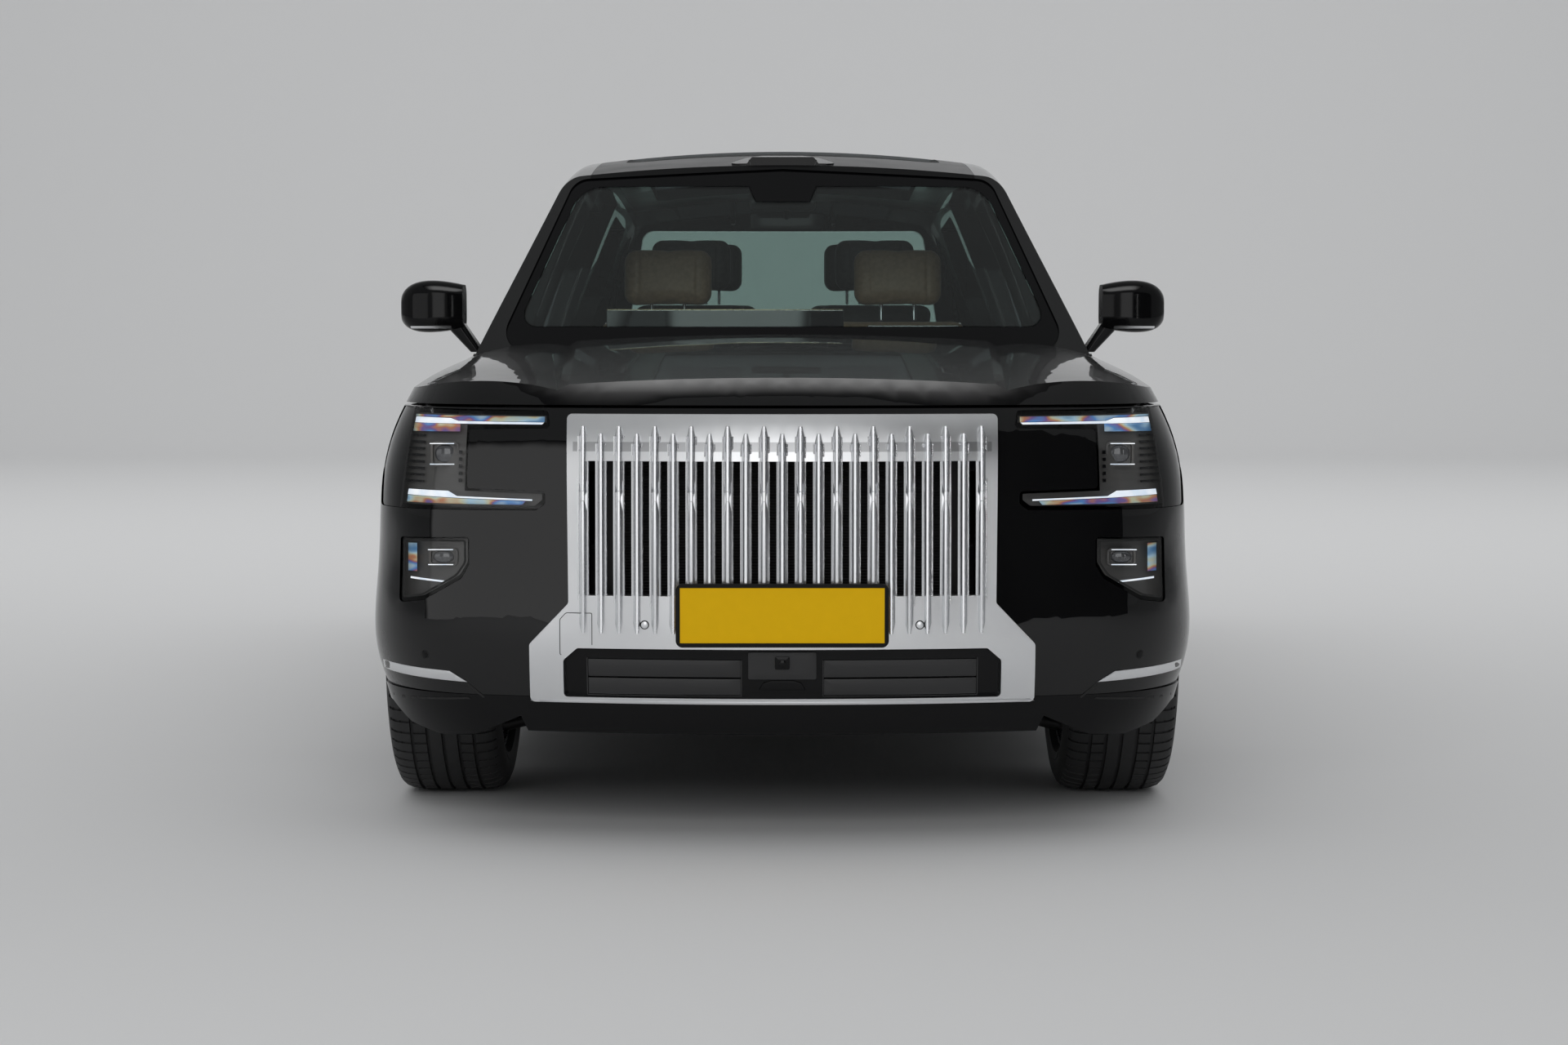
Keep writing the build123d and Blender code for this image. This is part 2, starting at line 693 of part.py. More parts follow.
save("roof_glass", common(cut(cabin_form(1), cabin_form(1 + ROOF_PANE)), hatch_prism(FIXED_GAP)))

# ---------------------------------------------------------------- bonnet, fenders and the nose skin
body_nose = common(body_form(0, True), bonnet_form(0), block(-1100, 1100, -FAR, DOOR_LEAD_Y, 0, FAR))
bonnet_clear = cabin_wedge(-42)
nose_box = block(-1100, 1100, -FAR, WINDSCREEN_Y + 350, BONNET_CUT_Z, FAR)
bonnet_blank = cut(common(body_nose, nose_box), bonnet_clear, block(-1100, 1100, BONNET_TAIL_Y, FAR, 0, FAR))
bonnet_sheet = cut(bonnet_blank, common(body_form(BONNET_DEPTH, True), bonnet_form(BONNET_DEPTH)))
bonnet_eye = (BONNET_AXIS_Y, BONNET_AXIS_Z)
BONNET_LUG = 16.0
BONNET_EYE = 10.0
bonnet_lug = plate(
    [
        (BONNET_TAIL_Y - 66, BONNET_AXIS_Z + 9),
        (BONNET_TAIL_Y - 2, BONNET_AXIS_Z + 9),
        (BONNET_AXIS_Y, BONNET_AXIS_Z + BONNET_EYE),
        (BONNET_AXIS_Y, BONNET_AXIS_Z - BONNET_EYE),
        (BONNET_TAIL_Y - 12, BONNET_AXIS_Z - 17),
        (BONNET_TAIL_Y - 66, BONNET_AXIS_Z - 17),
    ],
    BONNET_HINGE_X - BONNET_LUG / 2,
    BONNET_HINGE_X + BONNET_LUG / 2,
    bonnet_eye,
    BONNET_EYE,
    PIN_RADIUS + 1 + PIN_FIT,
)
bonnet = join(bonnet_sheet, bonnet_lug, flip(bonnet_lug))
save("bonnet", bonnet)

nose_skin = cut(body_nose, body_form(BUMPER_DEPTH, True))
LAMP_OUTER_Y = NOSE_Y + 400.0
front_drum = arch_drum(FRONT_AXLE_Y, ARCH_RADIUS, 380, 1100)
fender_blank = cut(
    common(nose_skin, block(380, FAR, LAMP_OUTER_Y, DOOR_LEAD_Y - DOOR_GAP, DOOR_BOTTOM_Z, BELT_Z)),
    front_drum,
    block(380, FAR, -FAR, FRONT_AXLE_Y, 0, BUMPER_TOP_Z),
    block(380, FAR, -FAR, BONNET_TAIL_Y + PANEL_GAP, BONNET_CUT_Z - PANEL_GAP, FAR),
)
save("front_fenders", both(fender_blank))

# ---------------------------------------------------------------- front bumper, with its openings
HEADLAMP = (
    (-975, BONNET_CUT_Z - 9),
    (-548, BONNET_CUT_Z - 14),
    (-542, BONNET_CUT_Z - 53),
    (-736, BONNET_CUT_Z - 57),
    (-740, 836),
    (-553, 831),
    (-553, 803),
    (-574, 788),
    (-975, 785),
)
LOWER_LAMP = ((-909, 716), (-735, 722), (-735, 657), (-754, 625), (-848, 571), (-912, 561))
INTAKE = ((-477, 469), (477, 469), (510, 440), (510, 352), (-510, 352), (-510, 440))
GRILLE_OUTER = (
    (-501, 1012),
    (501, 1012),
    (497, 573),
    (590, 476),
    (590, 338),
    (-590, 338),
    (-590, 476),
    (-497, 573),
)
GRILLE_MOUTH = ((-456, 904), (456, 904), (456, 592), (-456, 592))
lamp_cut = front_prism(HEADLAMP, -FAR, LAMP_OUTER_Y - FIXED_GAP, 9, FIXED_GAP)
lower_cut = front_prism(LOWER_LAMP, -FAR, LAMP_OUTER_Y, 9, FIXED_GAP)
grille_cut = front_prism(GRILLE_OUTER, -FAR, NOSE_Y + 400, 12, FIXED_GAP)
bumper = cut(
    common(nose_skin, block(-1100, 1100, -FAR, FRONT_AXLE_Y, LIP_TOP_Z, BONNET_CUT_Z - PANEL_GAP)),
    lamp_cut,
    flip(lamp_cut),
    lower_cut,
    flip(lower_cut),
    grille_cut,
    arch_drum(FRONT_AXLE_Y, ARCH_RADIUS, -1100, 1100),
    block(380, 1100, LAMP_OUTER_Y - FIXED_GAP, FAR, BUMPER_TOP_Z - FIXED_GAP, FAR),
    block(-1100, -380, LAMP_OUTER_Y - FIXED_GAP, FAR, BUMPER_TOP_Z - FIXED_GAP, FAR),
)
save("front_bumper", bumper)

lamp_band = cut(body_form(3, True), body_form(LAMP_DEPTH, True))
lamp_left = common(flip(front_prism(HEADLAMP, -FAR, LAMP_OUTER_Y - FIXED_GAP, 9, 0)), lamp_band)
lower_left = common(flip(front_prism(LOWER_LAMP, -FAR, LAMP_OUTER_Y, 9, 0)), lamp_band)
save("headlamps", both(lamp_left))
save("lower_lamps", both(lower_left))

# ---------------------------------------------------------------- grille: chrome surround and pointed bars
BAR_COUNT = 23
BAR_PITCH = 42.0
BAR_WIDTH = 24.0
BAR_TIP = 9.0
BAR_PROUD = 30.0
BAR_ROOT = 14.0


def nose_at(x, z):
    """How far back the nose skin stands at a point on the front."""
    share = (z - SILL_Z) / (BELT_Z - SILL_Z)
    rows = BODY_LEVELS
    for low, high in zip(rows, rows[1:]):
        if low[0] <= share <= high[0]:
            t = (share - low[0]) / (high[0] - low[0])
            setback = low[2] + t * (high[2] - low[2])
            end = WIDTH / 2 - (low[1] + t * (high[1] - low[1])) - SIDE_BOW
            return NOSE_Y + setback + NOSE_BOW * (x / end) ** 2
    return NOSE_Y


def spear(x, top, bottom, proud=BAR_PROUD):
    """One bar with a ridge down its middle and a point at each end."""
    with BuildPart() as piece:
        for z, width, rise in (
            (top, BAR_TIP, 0.35),
            (top - 26, BAR_WIDTH, 1.0),
            (bottom + 26, BAR_WIDTH, 1.0),
            (bottom, BAR_TIP, 0.35),
        ):
            y = nose_at(x, z)
            with BuildSketch(Plane.XY.offset(z)):
                with BuildLine():
                    Polyline(
                        (x - width / 2, y + BAR_ROOT),
                        (x - width / 2, y - proud * rise * 0.35),
                        (x, y - proud * rise),
                        (x + width / 2, y - proud * rise * 0.35),
                        (x + width / 2, y + BAR_ROOT),
                        close=True,
                    )
                make_face()
        loft(ruled=True)
    return piece.part


surround = cut(
    common(cut(body_form(-12, True), body_form(26, True)), front_prism(GRILLE_OUTER, -FAR, NOSE_Y + 400, 12, 0)),
    front_prism(GRILLE_MOUTH, -FAR, NOSE_Y + 400, 6, 0),
    front_prism(INTAKE, -FAR, NOSE_Y + 400, 10, 0),
)
bars = []
for i in range(BAR_COUNT):
    bar_x = (i - (BAR_COUNT - 1) / 2) * BAR_PITCH
    if i % 2 == 0:
        web_y = nose_at(bar_x, 790)
        bars.append(spear(bar_x, 984, 806))
        bars.append(spear(bar_x, 780, 507))
        bars.append(block(bar_x - 6, bar_x + 6, web_y - 4, web_y + 34, 740, 850))
    else:
        bars.append(spear(bar_x, 967, 507))
with BuildPart() as grille:
    add(surround)
    add(bars)
save("grille", grille.part)

# ---------------------------------------------------------------- behind the grille, lower intake, lip, plate
RAIL_X = (400.0, 480.0)
RADIATOR_X = RAIL_X[0] - 8.0
RADIATOR_Y = (NOSE_Y + 175.0, NOSE_Y + 235.0)
RADIATOR_TOP = 930.0
save("radiator", block(-RADIATOR_X, RADIATOR_X, *RADIATOR_Y, 345, RADIATOR_TOP))
with BuildPart() as intake:
    add(common(cut(body_form(2), body_form(60)), front_prism(INTAKE, -FAR, NOSE_Y + 300, 10, -SEAT_FIT)))
    for side in (-1, 1):
        for low, high in ((362, 386), (394, 418), (426, 444)):
            x0, x1 = sorted((side * 96, side * 452))
            add(block(x0, x1, -FAR, NOSE_Y + 30 + 400, low, high), mode=Mode.SUBTRACT)
save("lower_intake", intake.part)
LIP = (
    (-1100, LIP_TOP_Z - FIXED_GAP),
    (1100, LIP_TOP_Z - FIXED_GAP),
    (1100, 318),
    (949, 306),
    (897, 262),
    (820, 241),
    (729, 248),
    (616, 300),
    (600, 262),
    (-600, 262),
    (-616, 300),
    (-729, 248),
    (-820, 241),
    (-897, 262),
    (-949, 306),
    (-1100, 318),
)
front_lip = cut(
    common(cut(body_form(0), body_form(60)), front_prism(LIP, -FAR, FRONT_AXLE_Y - ARCH_RADIUS + 40)),
    arch_drum(FRONT_AXLE_Y, ARCH_RADIUS, -1100, 1100),
    grille_cut,
)
save("front_lip", front_lip)
with BuildPart() as plate:
    with BuildSketch(Plane.XZ.offset(LENGTH / 2 - 10)):
        with Locations((0, 551.5)):
            RectangleRounded(490, 147, 16)
    extrude(amount=10)
    with BuildSketch(Plane.XZ.offset(LENGTH / 2)):
        with Locations((0, 551.5)):
            RectangleRounded(480, 133, 8)
    extrude(amount=-3, mode=Mode.SUBTRACT)
    with BuildSketch(Plane.XZ.offset(LENGTH / 2 - 10)):
        for px in (-150, 150):
            with Locations((px, 551.5)):
                Rectangle(60, 60)
    extrude(amount=-55)
plate_piece = cut(plate.part, grille.part)
save("front_plate", largest(plate_piece))

# ---------------------------------------------------------------- tailgate with its glass and lamp bar
tail_box = front_prism(TAILGATE, TAILGATE_LEAD_Y, FAR, 0, 0)
tail_half = block(-1100, 1100, 1000, FAR, 0, 2200)


def car_tail(inset):
    """The rear of the body and cabin, taken in by inset all round."""
    return join(common(body_form(inset), tail_half), common(cabin_form(inset), tail_half))


tail_flange = cut(
    common(car_tail(TAILGATE_SKIN), tail_box), front_prism(TAILGATE, TAILGATE_LEAD_Y, FAR, 0, -TAILGATE_FLANGE)
)
lamp_bar_z = 968.0
bar_box = block(-705, 705, TAIL_Y - 200, FAR, lamp_bar_z, lamp_bar_z + 46)
tailgate = cut(
    common(car_tail(0), tail_box),
    car_tail(TAILGATE_DEPTH),
    tail_flange,
    block(-1100, 1100, 1700, TAIL_Y - 330, 0, BELT_Z - 10),
    front_prism(BACKLIGHT, TAILGATE_LEAD_Y, FAR, 50),
    common(bar_box, cut(body_form(-20), body_form(40))),
)
hinge_wide = ARM_WIDE / 2 + 5
hinge_well = block(
    TAILGATE_HINGE_X - hinge_wide,
    TAILGATE_HINGE_X + hinge_wide,
    TAILGATE_AXIS_Y - 70,
    TAILGATE_AXIS_Y + 14,
    TAILGATE_AXIS_Z - ARM_DROP - 8,
    TAILGATE_AXIS_Z + EYE_RADIUS + 2,
)
hinge_pin = cross_pin(
    TAILGATE_HINGE_X - hinge_wide - 1, TAILGATE_HINGE_X + hinge_wide + 1, tailgate_eye, PIN_RADIUS
)
tailgate = join(cut(largest(tailgate), both(hinge_well)), hinge_pin, flip(hinge_pin))
save("tailgate", tailgate)
save("tailgate_glass", common(glass_shell, front_prism(BACKLIGHT, TAILGATE_LEAD_Y, FAR, 50, -SEAT_FIT)))
light_bar = common(
    block(-705 + SEAT_FIT, 705 - SEAT_FIT, TAIL_Y - 200, FAR, lamp_bar_z + SEAT_FIT, lamp_bar_z + 46 - SEAT_FIT),
    cut(body_form(-2), body_form(40 - SEAT_FIT)),
)
save("tail_light_bar", light_bar)

# ---------------------------------------------------------------- tail lamps and rear bumper
tail_lamp = cut(
    common(body_form(-2), block(700 + FIXED_GAP, 1100, TAIL_LAMP_Y, FAR, *TAIL_LAMP_Z)),
    body_form(LAMP_DEPTH),
    tailgate_cut,
)
save("tail_lamps", both(largest(tail_lamp)))
rear_bumper = cut(
    cut(body_form(0), body_form(40)),
    block(-1100, 1100, -FAR, REAR_AXLE_Y, 0, FAR),
    block(-1100, 1100, -FAR, FAR, TAILGATE_FOOT_Z - PANEL_GAP, FAR),
    arch_drum(REAR_AXLE_Y, ARCH_RADIUS, -1100, 1100),
    block(-1100, 1100, -FAR, QUARTER_TAIL_Y + FIXED_GAP, QUARTER_FOOT_Z - FIXED_GAP, FAR),
)
save("rear_bumper", largest(rear_bumper))

# ---------------------------------------------------------------- floor, firewall, cowl and engine
inner_fit = body_form(WALL_DEPTH + SEAT_FIT)
FIREWALL_Y = FRONT_AXLE_Y + ARCH_RADIUS + 110
BOOT_Y = REAR_AXLE_Y - 320.0
SHEET = 40.0  # floor and firewall with their ribs and trim
FLOOR_FOOT = 250.0
rear_well = both(arch_drum(REAR_AXLE_Y, ARCH_RADIUS + 14, 690, 1100))
with BuildPart() as floor:
    add(block(-900, 900, FIREWALL_Y, BOOT_Y + 30, FLOOR_FOOT, FLOOR_TOP))
    add(block(-900, 900, BOOT_Y, BOOT_Y + 30, FLOOR_FOOT, BOOT_FLOOR_TOP))
    add(block(-900, 900, BOOT_Y, TAIL_Y - 250, BOOT_FLOOR_TOP - SHEET, BOOT_FLOOR_TOP))
    add(inner_fit, mode=Mode.INTERSECT)
    add(rear_well, mode=Mode.SUBTRACT)
    add(block(-740, 740, FIREWALL_Y + 160, BOOT_Y - 200, GROUND_CLEARANCE, FLOOR_FOOT + 1))
save("floor_pan", floor.part)
cowl_foot = 1090.0
firewall = common(
    inner_fit, block(-900, 900, FIREWALL_Y, FIREWALL_Y + SHEET, FLOOR_TOP + SEAT_FIT, cowl_foot)
)
save("firewall", firewall)

cowl_end = nose_end - SEAT_FIT
cowl_top = bonnet_form(22)
cowl_core = common(
    body_form(BONNET_DEPTH + 16, True), cowl_top, block(-820, 820, -FAR, cowl_end, cowl_foot + SEAT_FIT, 1220)
)
cowl_ends = common(
    body_form(BUMPER_DEPTH + SEAT_FIT, True),
    cowl_top,
    both(block(800, 900, BONNET_TAIL_Y + PANEL_GAP, cowl_end, cowl_foot + SEAT_FIT, BELT_Z)),
)
hinge_slot = block(
    BONNET_HINGE_X - BONNET_LUG / 2 - 5,
    BONNET_HINGE_X + BONNET_LUG / 2 + 5,
    -FAR,
    BONNET_AXIS_Y + BONNET_EYE + 6,
    BONNET_AXIS_Z - 25,
    FAR,
)
cheeks = [
    block(
        BONNET_HINGE_X + side * (BONNET_LUG / 2 + 9) - 4,
        BONNET_HINGE_X + side * (BONNET_LUG / 2 + 9) + 4,
        BONNET_AXIS_Y - 12,
        BONNET_AXIS_Y + 12,
        BONNET_AXIS_Z - 30,
        BONNET_AXIS_Z + BONNET_EYE,
    )
    for side in (-1, 1)
]
bonnet_pin = cross_pin(
    BONNET_HINGE_X - BONNET_LUG / 2 - 10, BONNET_HINGE_X + BONNET_LUG / 2 + 10, bonnet_eye, PIN_RADIUS + 1
)
cowl = cut(common(join(cowl_core, cowl_ends), cabin_wedge(-34)), cabin_wedge(5 - SEAT_FIT), both(hinge_slot))
save("cowl", largest(join(cowl, both(join(*cheeks, bonnet_pin)))))

ENGINE_X = 300.0
ENGINE_Z = (420.0, 930.0)
engine = block(-ENGINE_X, ENGINE_X, FRONT_AXLE_Y - 330, FRONT_AXLE_Y + 330, *ENGINE_Z)
save("engine_block", engine)

# ---------------------------------------------------------------- front frame: rails, towers and cross-members
RAIL_Z = (420.0, 540.0)
TOWER_TOP = 900.0
TOWER_FOOT = TYRE_RADIUS + ARCH_RADIUS + 8.5
STRUT_X = 585.0
SUBFRAME_TOP = 300.0
rail_end = FIREWALL_Y - SEAT_FIT
beam_y = RADIATOR_Y[0] - 5.0
with BuildPart() as frame_side:
    add(block(*RAIL_X, beam_y, rail_end, *RAIL_Z))
    add(block(RAIL_X[0], RAIL_X[0] + 40, *RADIATOR_Y, RAIL_Z[1] - 1, RADIATOR_TOP + 35))
    add(block(RAIL_X[0] + 30, RAIL_X[1], FRONT_AXLE_Y - 90, FRONT_AXLE_Y + 90, RAIL_Z[1] - 1, TOWER_TOP))
    add(block(RAIL_X[0] + 30, 640, FRONT_AXLE_Y - 90, FRONT_AXLE_Y + 90, TOWER_FOOT, TOWER_TOP))
    add(block(620, 780, FRONT_AXLE_Y - 60, FRONT_AXLE_Y + 60, TOWER_TOP - 20, 1010))
    add(block(720, 780, FRONT_AXLE_Y - 580, rail_end, 960, 1010))
    add(block(ENGINE_X + SEAT_FIT, RAIL_X[0] + 1, FRONT_AXLE_Y - 40, FRONT_AXLE_Y + 40, 480, 530))
    for dy in (-200, 200):
        add(
            block(
                RAIL_X[0] + 4, RAIL_X[0] + 28, FRONT_AXLE_Y + dy - 25, FRONT_AXLE_Y + dy + 25,
                SUBFRAME_TOP + SEAT_FIT, RAIL_Z[0] + 1,
            )
        )
with BuildPart() as front_frame:
    add(both(frame_side.part))
    add(block(-620, 620, beam_y - 36, beam_y + 1, RAIL_Z[0] + 10, RAIL_Z[1]))
    add(block(-RAIL_X[0] - 1, RAIL_X[0] + 1, *RADIATOR_Y, RADIATOR_TOP + SEAT_FIT, RADIATOR_TOP + 35))
save("front_frame", front_frame.part)


# ---------------------------------------------------------------- arch liners
def arch_liner(y, x_in, x_out, foot):
    """A thin drum over the wheel with an inner wall that is open round the suspension."""
    with BuildPart() as piece:
        with BuildSketch(Plane.YZ.offset(x_in)):
            with Locations((y, TYRE_RADIUS)):
                Circle(ARCH_RADIUS + 6)
                Circle(ARCH_RADIUS + 1, mode=Mode.SUBTRACT)
        extrude(amount=x_out - x_in)
        with BuildSketch(Plane.YZ.offset(x_in - 5)):
            with Locations((y, TYRE_RADIUS)):
                Circle(ARCH_RADIUS + 6)
                Rectangle(400, 560, mode=Mode.SUBTRACT)
        extrude(amount=5)
        add(block(x_in - 10, x_out + 10, y - 500, y + 500, -200, foot), mode=Mode.SUBTRACT)
    return piece.part


strut_hole = post(STRUT_X, FRONT_AXLE_Y, 700, TOWER_TOP, 34)
front_liner = common(
    cut(arch_liner(FRONT_AXLE_Y, 494, 1000, LIP_TOP_Z + 2), strut_hole), body_form(BUMPER_DEPTH + SEAT_FIT, True)
)
save("front_arch_liners", both(largest(front_liner)))
rear_liner = common(arch_liner(REAR_AXLE_Y, 696, 960, 330), inner_fit)
save("rear_arch_liners", both(largest(rear_liner)))

# ---------------------------------------------------------------- cabin furniture
SEAT_X = 385.0


def seat(x, y, width, base_z, floor_z, lean=12.0):
    """A seat with a plinth, a squab, a leaning backrest and a headrest, as one piece."""
    with BuildPart() as piece:
        with Locations((x, y, base_z + 70)):
            Box(width, 520, 140)
        with Locations(Pos(x, y + 235, base_z + 90) * Rot(-lean, 0, 0)):
            with Locations((0, 0, 300)):
                Box(width - 20, 130, 620)
            with Locations((0, 4, 640)):
                Box(70, 40, 60)
            with Locations((0, -4, 735)):
                Box(300, 100, 190)
        add(block(x - width / 2 + 80, x + width / 2 - 80, y - 210, y + 210, floor_z + SEAT_FIT, base_z + 5))
    return piece.part


front_seat = seat(SEAT_X, -60, 520, 575, FLOOR_TOP)
save("front_seats", both(front_seat))
second_seat = seat(340, 900, 480, 640, FLOOR_TOP)
save("second_row_seats", both(second_seat))
third_seat = seat(310, 1720, 480, 640, BOOT_FLOOR_TOP, 8)
save("third_row_seats", both(third_seat))

STEER_X, STEER_Y, STEER_Z = 385.0, -560.0, 1010.0
STEER_TILT = 24.0
SHAFT_END = 125.0
steer_place = Pos(STEER_X, STEER_Y, STEER_Z) * Rot(STEER_TILT - 90, 0, 0)
DASH_X = 738.0
console_foot = FLOOR_TOP + SEAT_FIT
with BuildPart() as dash:
    with BuildSketch(Plane.YZ.offset(-DASH_X)):
        with BuildLine():
            Polyline(
                (-1090, 700), (-1090, 1070), (-1010, 1118), (-800, 1112), (-720, 1060), (-735, 960),
                (-800, 880), (-830, 700), close=True,
            )
        make_face()
        fillet(vertices(), 20)
    extrude(amount=2 * DASH_X)
    add(block(-700, 620, -792, -775, 1085, 1215))
    with Locations(steer_place):
        with Locations((0, 0, -SHAFT_END - SEAT_FIT - 80)):
            Cylinder(38, 160)
    with BuildSketch(Plane.YZ.offset(-120)):
        with BuildLine():
            Polyline(
                (-900, console_foot), (-900, 900), (-780, 860), (-560, 640), (-80, 600), (260, 600),
                (260, console_foot), close=True,
            )
        make_face()
        fillet(vertices().sort_by(Axis.Y)[2:], 24)
    extrude(amount=240)
save("dashboard", dash.part)

with BuildPart() as steering_wheel:
    with Locations(steer_place):
        Torus(178, 15)
        Cylinder(70, 50)
        for turn in (0, 180, 270):
            with Locations(Rot(0, 0, turn)):
                with Locations((115, 0, 0)):
                    Box(120, 34, 20)
        with Locations((0, 0, -SHAFT_END / 2 - 7)):
            Cylinder(22, SHAFT_END - 14)
save("steering_wheel", steering_wheel.part)

# ---------------------------------------------------------------- wheels
def wheel_profile_tyre():
    half = TYRE_WIDTH / 2
    with BuildPart() as piece:
        with BuildSketch(Plane.XY):
            with BuildLine():
                Polyline(
                    (-half + 22, RIM_RADIUS), (-half + 4, RIM_RADIUS + 22), (-half, RIM_RADIUS + 52),
                    (-half + 10, TYRE_RADIUS - 20), (-half + 36, TYRE_RADIUS - 4), (-half + 70, TYRE_RADIUS),
                    (half - 70, TYRE_RADIUS), (half - 36, TYRE_RADIUS - 4), (half - 10, TYRE_RADIUS - 20),
                    (half, RIM_RADIUS + 52), (half - 4, RIM_RADIUS + 22), (half - 22, RIM_RADIUS),
                    close=True,
                )
            make_face()
            for gx in (-78, -39, 0, 39, 78):
                with Locations((gx, TYRE_RADIUS)):
                    Rectangle(9, 15, mode=Mode.SUBTRACT)
        revolve(axis=Axis.X)
    return piece.part


SPOKES = 10
RIM_HALF = TYRE_WIDTH / 2 - 22
with BuildPart() as spoke:
    with BuildSketch(Plane.XY):
        with BuildLine():
            Polyline(
                (RIM_HALF - 58, 60), (RIM_HALF - 32, 60), (RIM_HALF - 8, 200), (RIM_HALF - 4, 270),
                (RIM_HALF - 34, 270), (RIM_HALF - 44, 200), close=True,
            )
        make_face()
    extrude(amount=11, both=True)


def rim_solid():
    """Rim barrel, twin spokes, hub and brake disc, centred on the wheel with its outer face towards +X."""
    half = RIM_HALF
    with BuildPart() as piece:
        with BuildSketch(Plane.XY):
            with BuildLine():
                Polyline(
                    (-half, RIM_RADIUS - SEAT_FIT), (-half, RIM_RADIUS - 14), (-half + 30, 262), (half - 40, 262),
                    (half - 18, RIM_RADIUS - 12), (half + 4, RIM_RADIUS - 8), (half + 4, RIM_RADIUS - SEAT_FIT),
                    close=True,
                )
            make_face()
            with BuildLine():
                Polyline((-26, 0), (-26, 195), (6, 195), (6, 92), (half - 42, 80), (half - 30, 0), close=True)
            make_face()
        revolve(axis=Axis.X)
        for k in range(SPOKES):
            for lean in (-5.5, 5.5):
                add(spoke.part.rotate(Axis.X, 360 / SPOKES * k + lean))
    return piece.part


tyre = wheel_profile_tyre()
rim = rim_solid()
for end, y in (("front", FRONT_AXLE_Y), ("rear", REAR_AXLE_Y)):
    place = Pos(WHEEL_X, y, TYRE_RADIUS)
    with BuildPart() as t:
        with Locations(place):
            add(tyre)
    with BuildPart() as r:
        with Locations(place):
            add(rim)
    save(f"tyre_{end}_left", t.part)
    save(f"tyre_{end}_right", flip(t.part))
    save(f"rim_{end}_left", r.part)
    save(f"rim_{end}_right", flip(r.part))


# ---------------------------------------------------------------- knuckles, suspension
HUB_BACK = 26.0  # the disc's inner face stands this far inboard of the wheel's middle
BALL_RISE = 211.0  # the ball joints stand this far above and below the axle
BALL_PIN = 6.0


def upright(y, toward):
    """Wheel carrier with a brake caliper on the side of the disc that toward points to."""
    with BuildPart() as piece:
        add(block(WHEEL_X - 110, WHEEL_X - 40, y - 55, y + 55, TYRE_RADIUS - 150, TYRE_RADIUS + 170))
        caliper_y = sorted((y + toward * 150, y + toward * 235))
        add(block(WHEEL_X - 60, WHEEL_X + 26, caliper_y[0], caliper_y[1], TYRE_RADIUS - 95, TYRE_RADIUS + 95))
        disc_y = sorted((y, y + toward * 205))
        add(
            block(WHEEL_X - 36, WHEEL_X + 14, disc_y[0], disc_y[1], TYRE_RADIUS - 200, TYRE_RADIUS + 200),
            mode=Mode.SUBTRACT,
        )
        arm_y = sorted((y + toward * 40, y + toward * 170))
        add(block(WHEEL_X - 75, WHEEL_X - 45, arm_y[0], arm_y[1], TYRE_RADIUS - 60, TYRE_RADIUS + 60))
        with BuildSketch(Plane.YZ):
            with Locations((y, TYRE_RADIUS)):
                Circle(243)
        extrude(amount=1200, mode=Mode.INTERSECT)
        with BuildSketch(Plane.YZ.offset(WHEEL_X - 60)):
            with Locations((y, TYRE_RADIUS)):
                Circle(48)
        extrude(amount=60 - HUB_BACK - SEAT_FIT)
    return piece.part


def ball_joint(side):
    """Foot and pin at the knuckle's lower (-1) or upper (1) end, then the plate whose eye holds them."""
    foot = TYRE_RADIUS + side * BALL_RISE
    legs = sorted((TYRE_RADIUS + side * 140, foot + side * 7))
    tips = sorted((foot, foot + side * 29))
    seats = sorted((foot + side * 9, foot + side * 24))
    hold = join(
        block(WHEEL_X - 80, WHEEL_X - 55, FRONT_AXLE_Y - 14, FRONT_AXLE_Y + 14, *legs),
        block(WHEEL_X - 80, KINGPIN_X + 12, FRONT_AXLE_Y - 14, FRONT_AXLE_Y + 14, foot - 7, foot + 7),
        post(KINGPIN_X, FRONT_AXLE_Y, *tips, BALL_PIN),
    )
    eye = cut(
        join(
            block(KINGPIN_X - 110, KINGPIN_X, FRONT_AXLE_Y - 15, FRONT_AXLE_Y + 15, *seats),
            post(KINGPIN_X, FRONT_AXLE_Y, *seats, 15),
        ),
        post(KINGPIN_X, FRONT_AXLE_Y, seats[0] - 1, seats[1] + 1, BALL_PIN + PIN_FIT),
    )
    return hold, eye, sum(seats) / 2


low_hold, low_eye, low_z = ball_joint(-1)
high_hold, high_eye, high_z = ball_joint(1)
front_knuckle = join(upright(FRONT_AXLE_Y, 1), low_hold, high_hold)
save("knuckle_left", front_knuckle)
save("knuckle_right", flip(front_knuckle))
SUBFRAME_FOOT = 235.0
arm_root = (SUBFRAME_FOOT + SUBFRAME_TOP) / 2
arm_tip = KINGPIN_X - 100
with BuildPart() as front_arms:
    for dy in (-200, 200):
        add(bar((400, FRONT_AXLE_Y + dy, arm_root), (arm_tip, FRONT_AXLE_Y + dy * 0.05, low_z), 13))
    add(block(STRUT_X - 30, STRUT_X + 15, FRONT_AXLE_Y - 95, FRONT_AXLE_Y + 95, 198, 216))
    add(post(STRUT_X, FRONT_AXLE_Y, 200, TOWER_FOOT - SEAT_FIT, 26))
    add(bar((RAIL_X[1] + 12, FRONT_AXLE_Y, high_z + 25), (arm_tip, FRONT_AXLE_Y, high_z), 12))
    add(low_eye)
    add(high_eye)
with BuildPart() as front_susp:
    add(
        block(-RAIL_X[0] - 30, RAIL_X[0] + 30, FRONT_AXLE_Y - 240, FRONT_AXLE_Y + 240, SUBFRAME_FOOT, SUBFRAME_TOP)
    )
    add(front_arms.part)
    add(flip(front_arms.part))
save("front_suspension", front_susp.part)

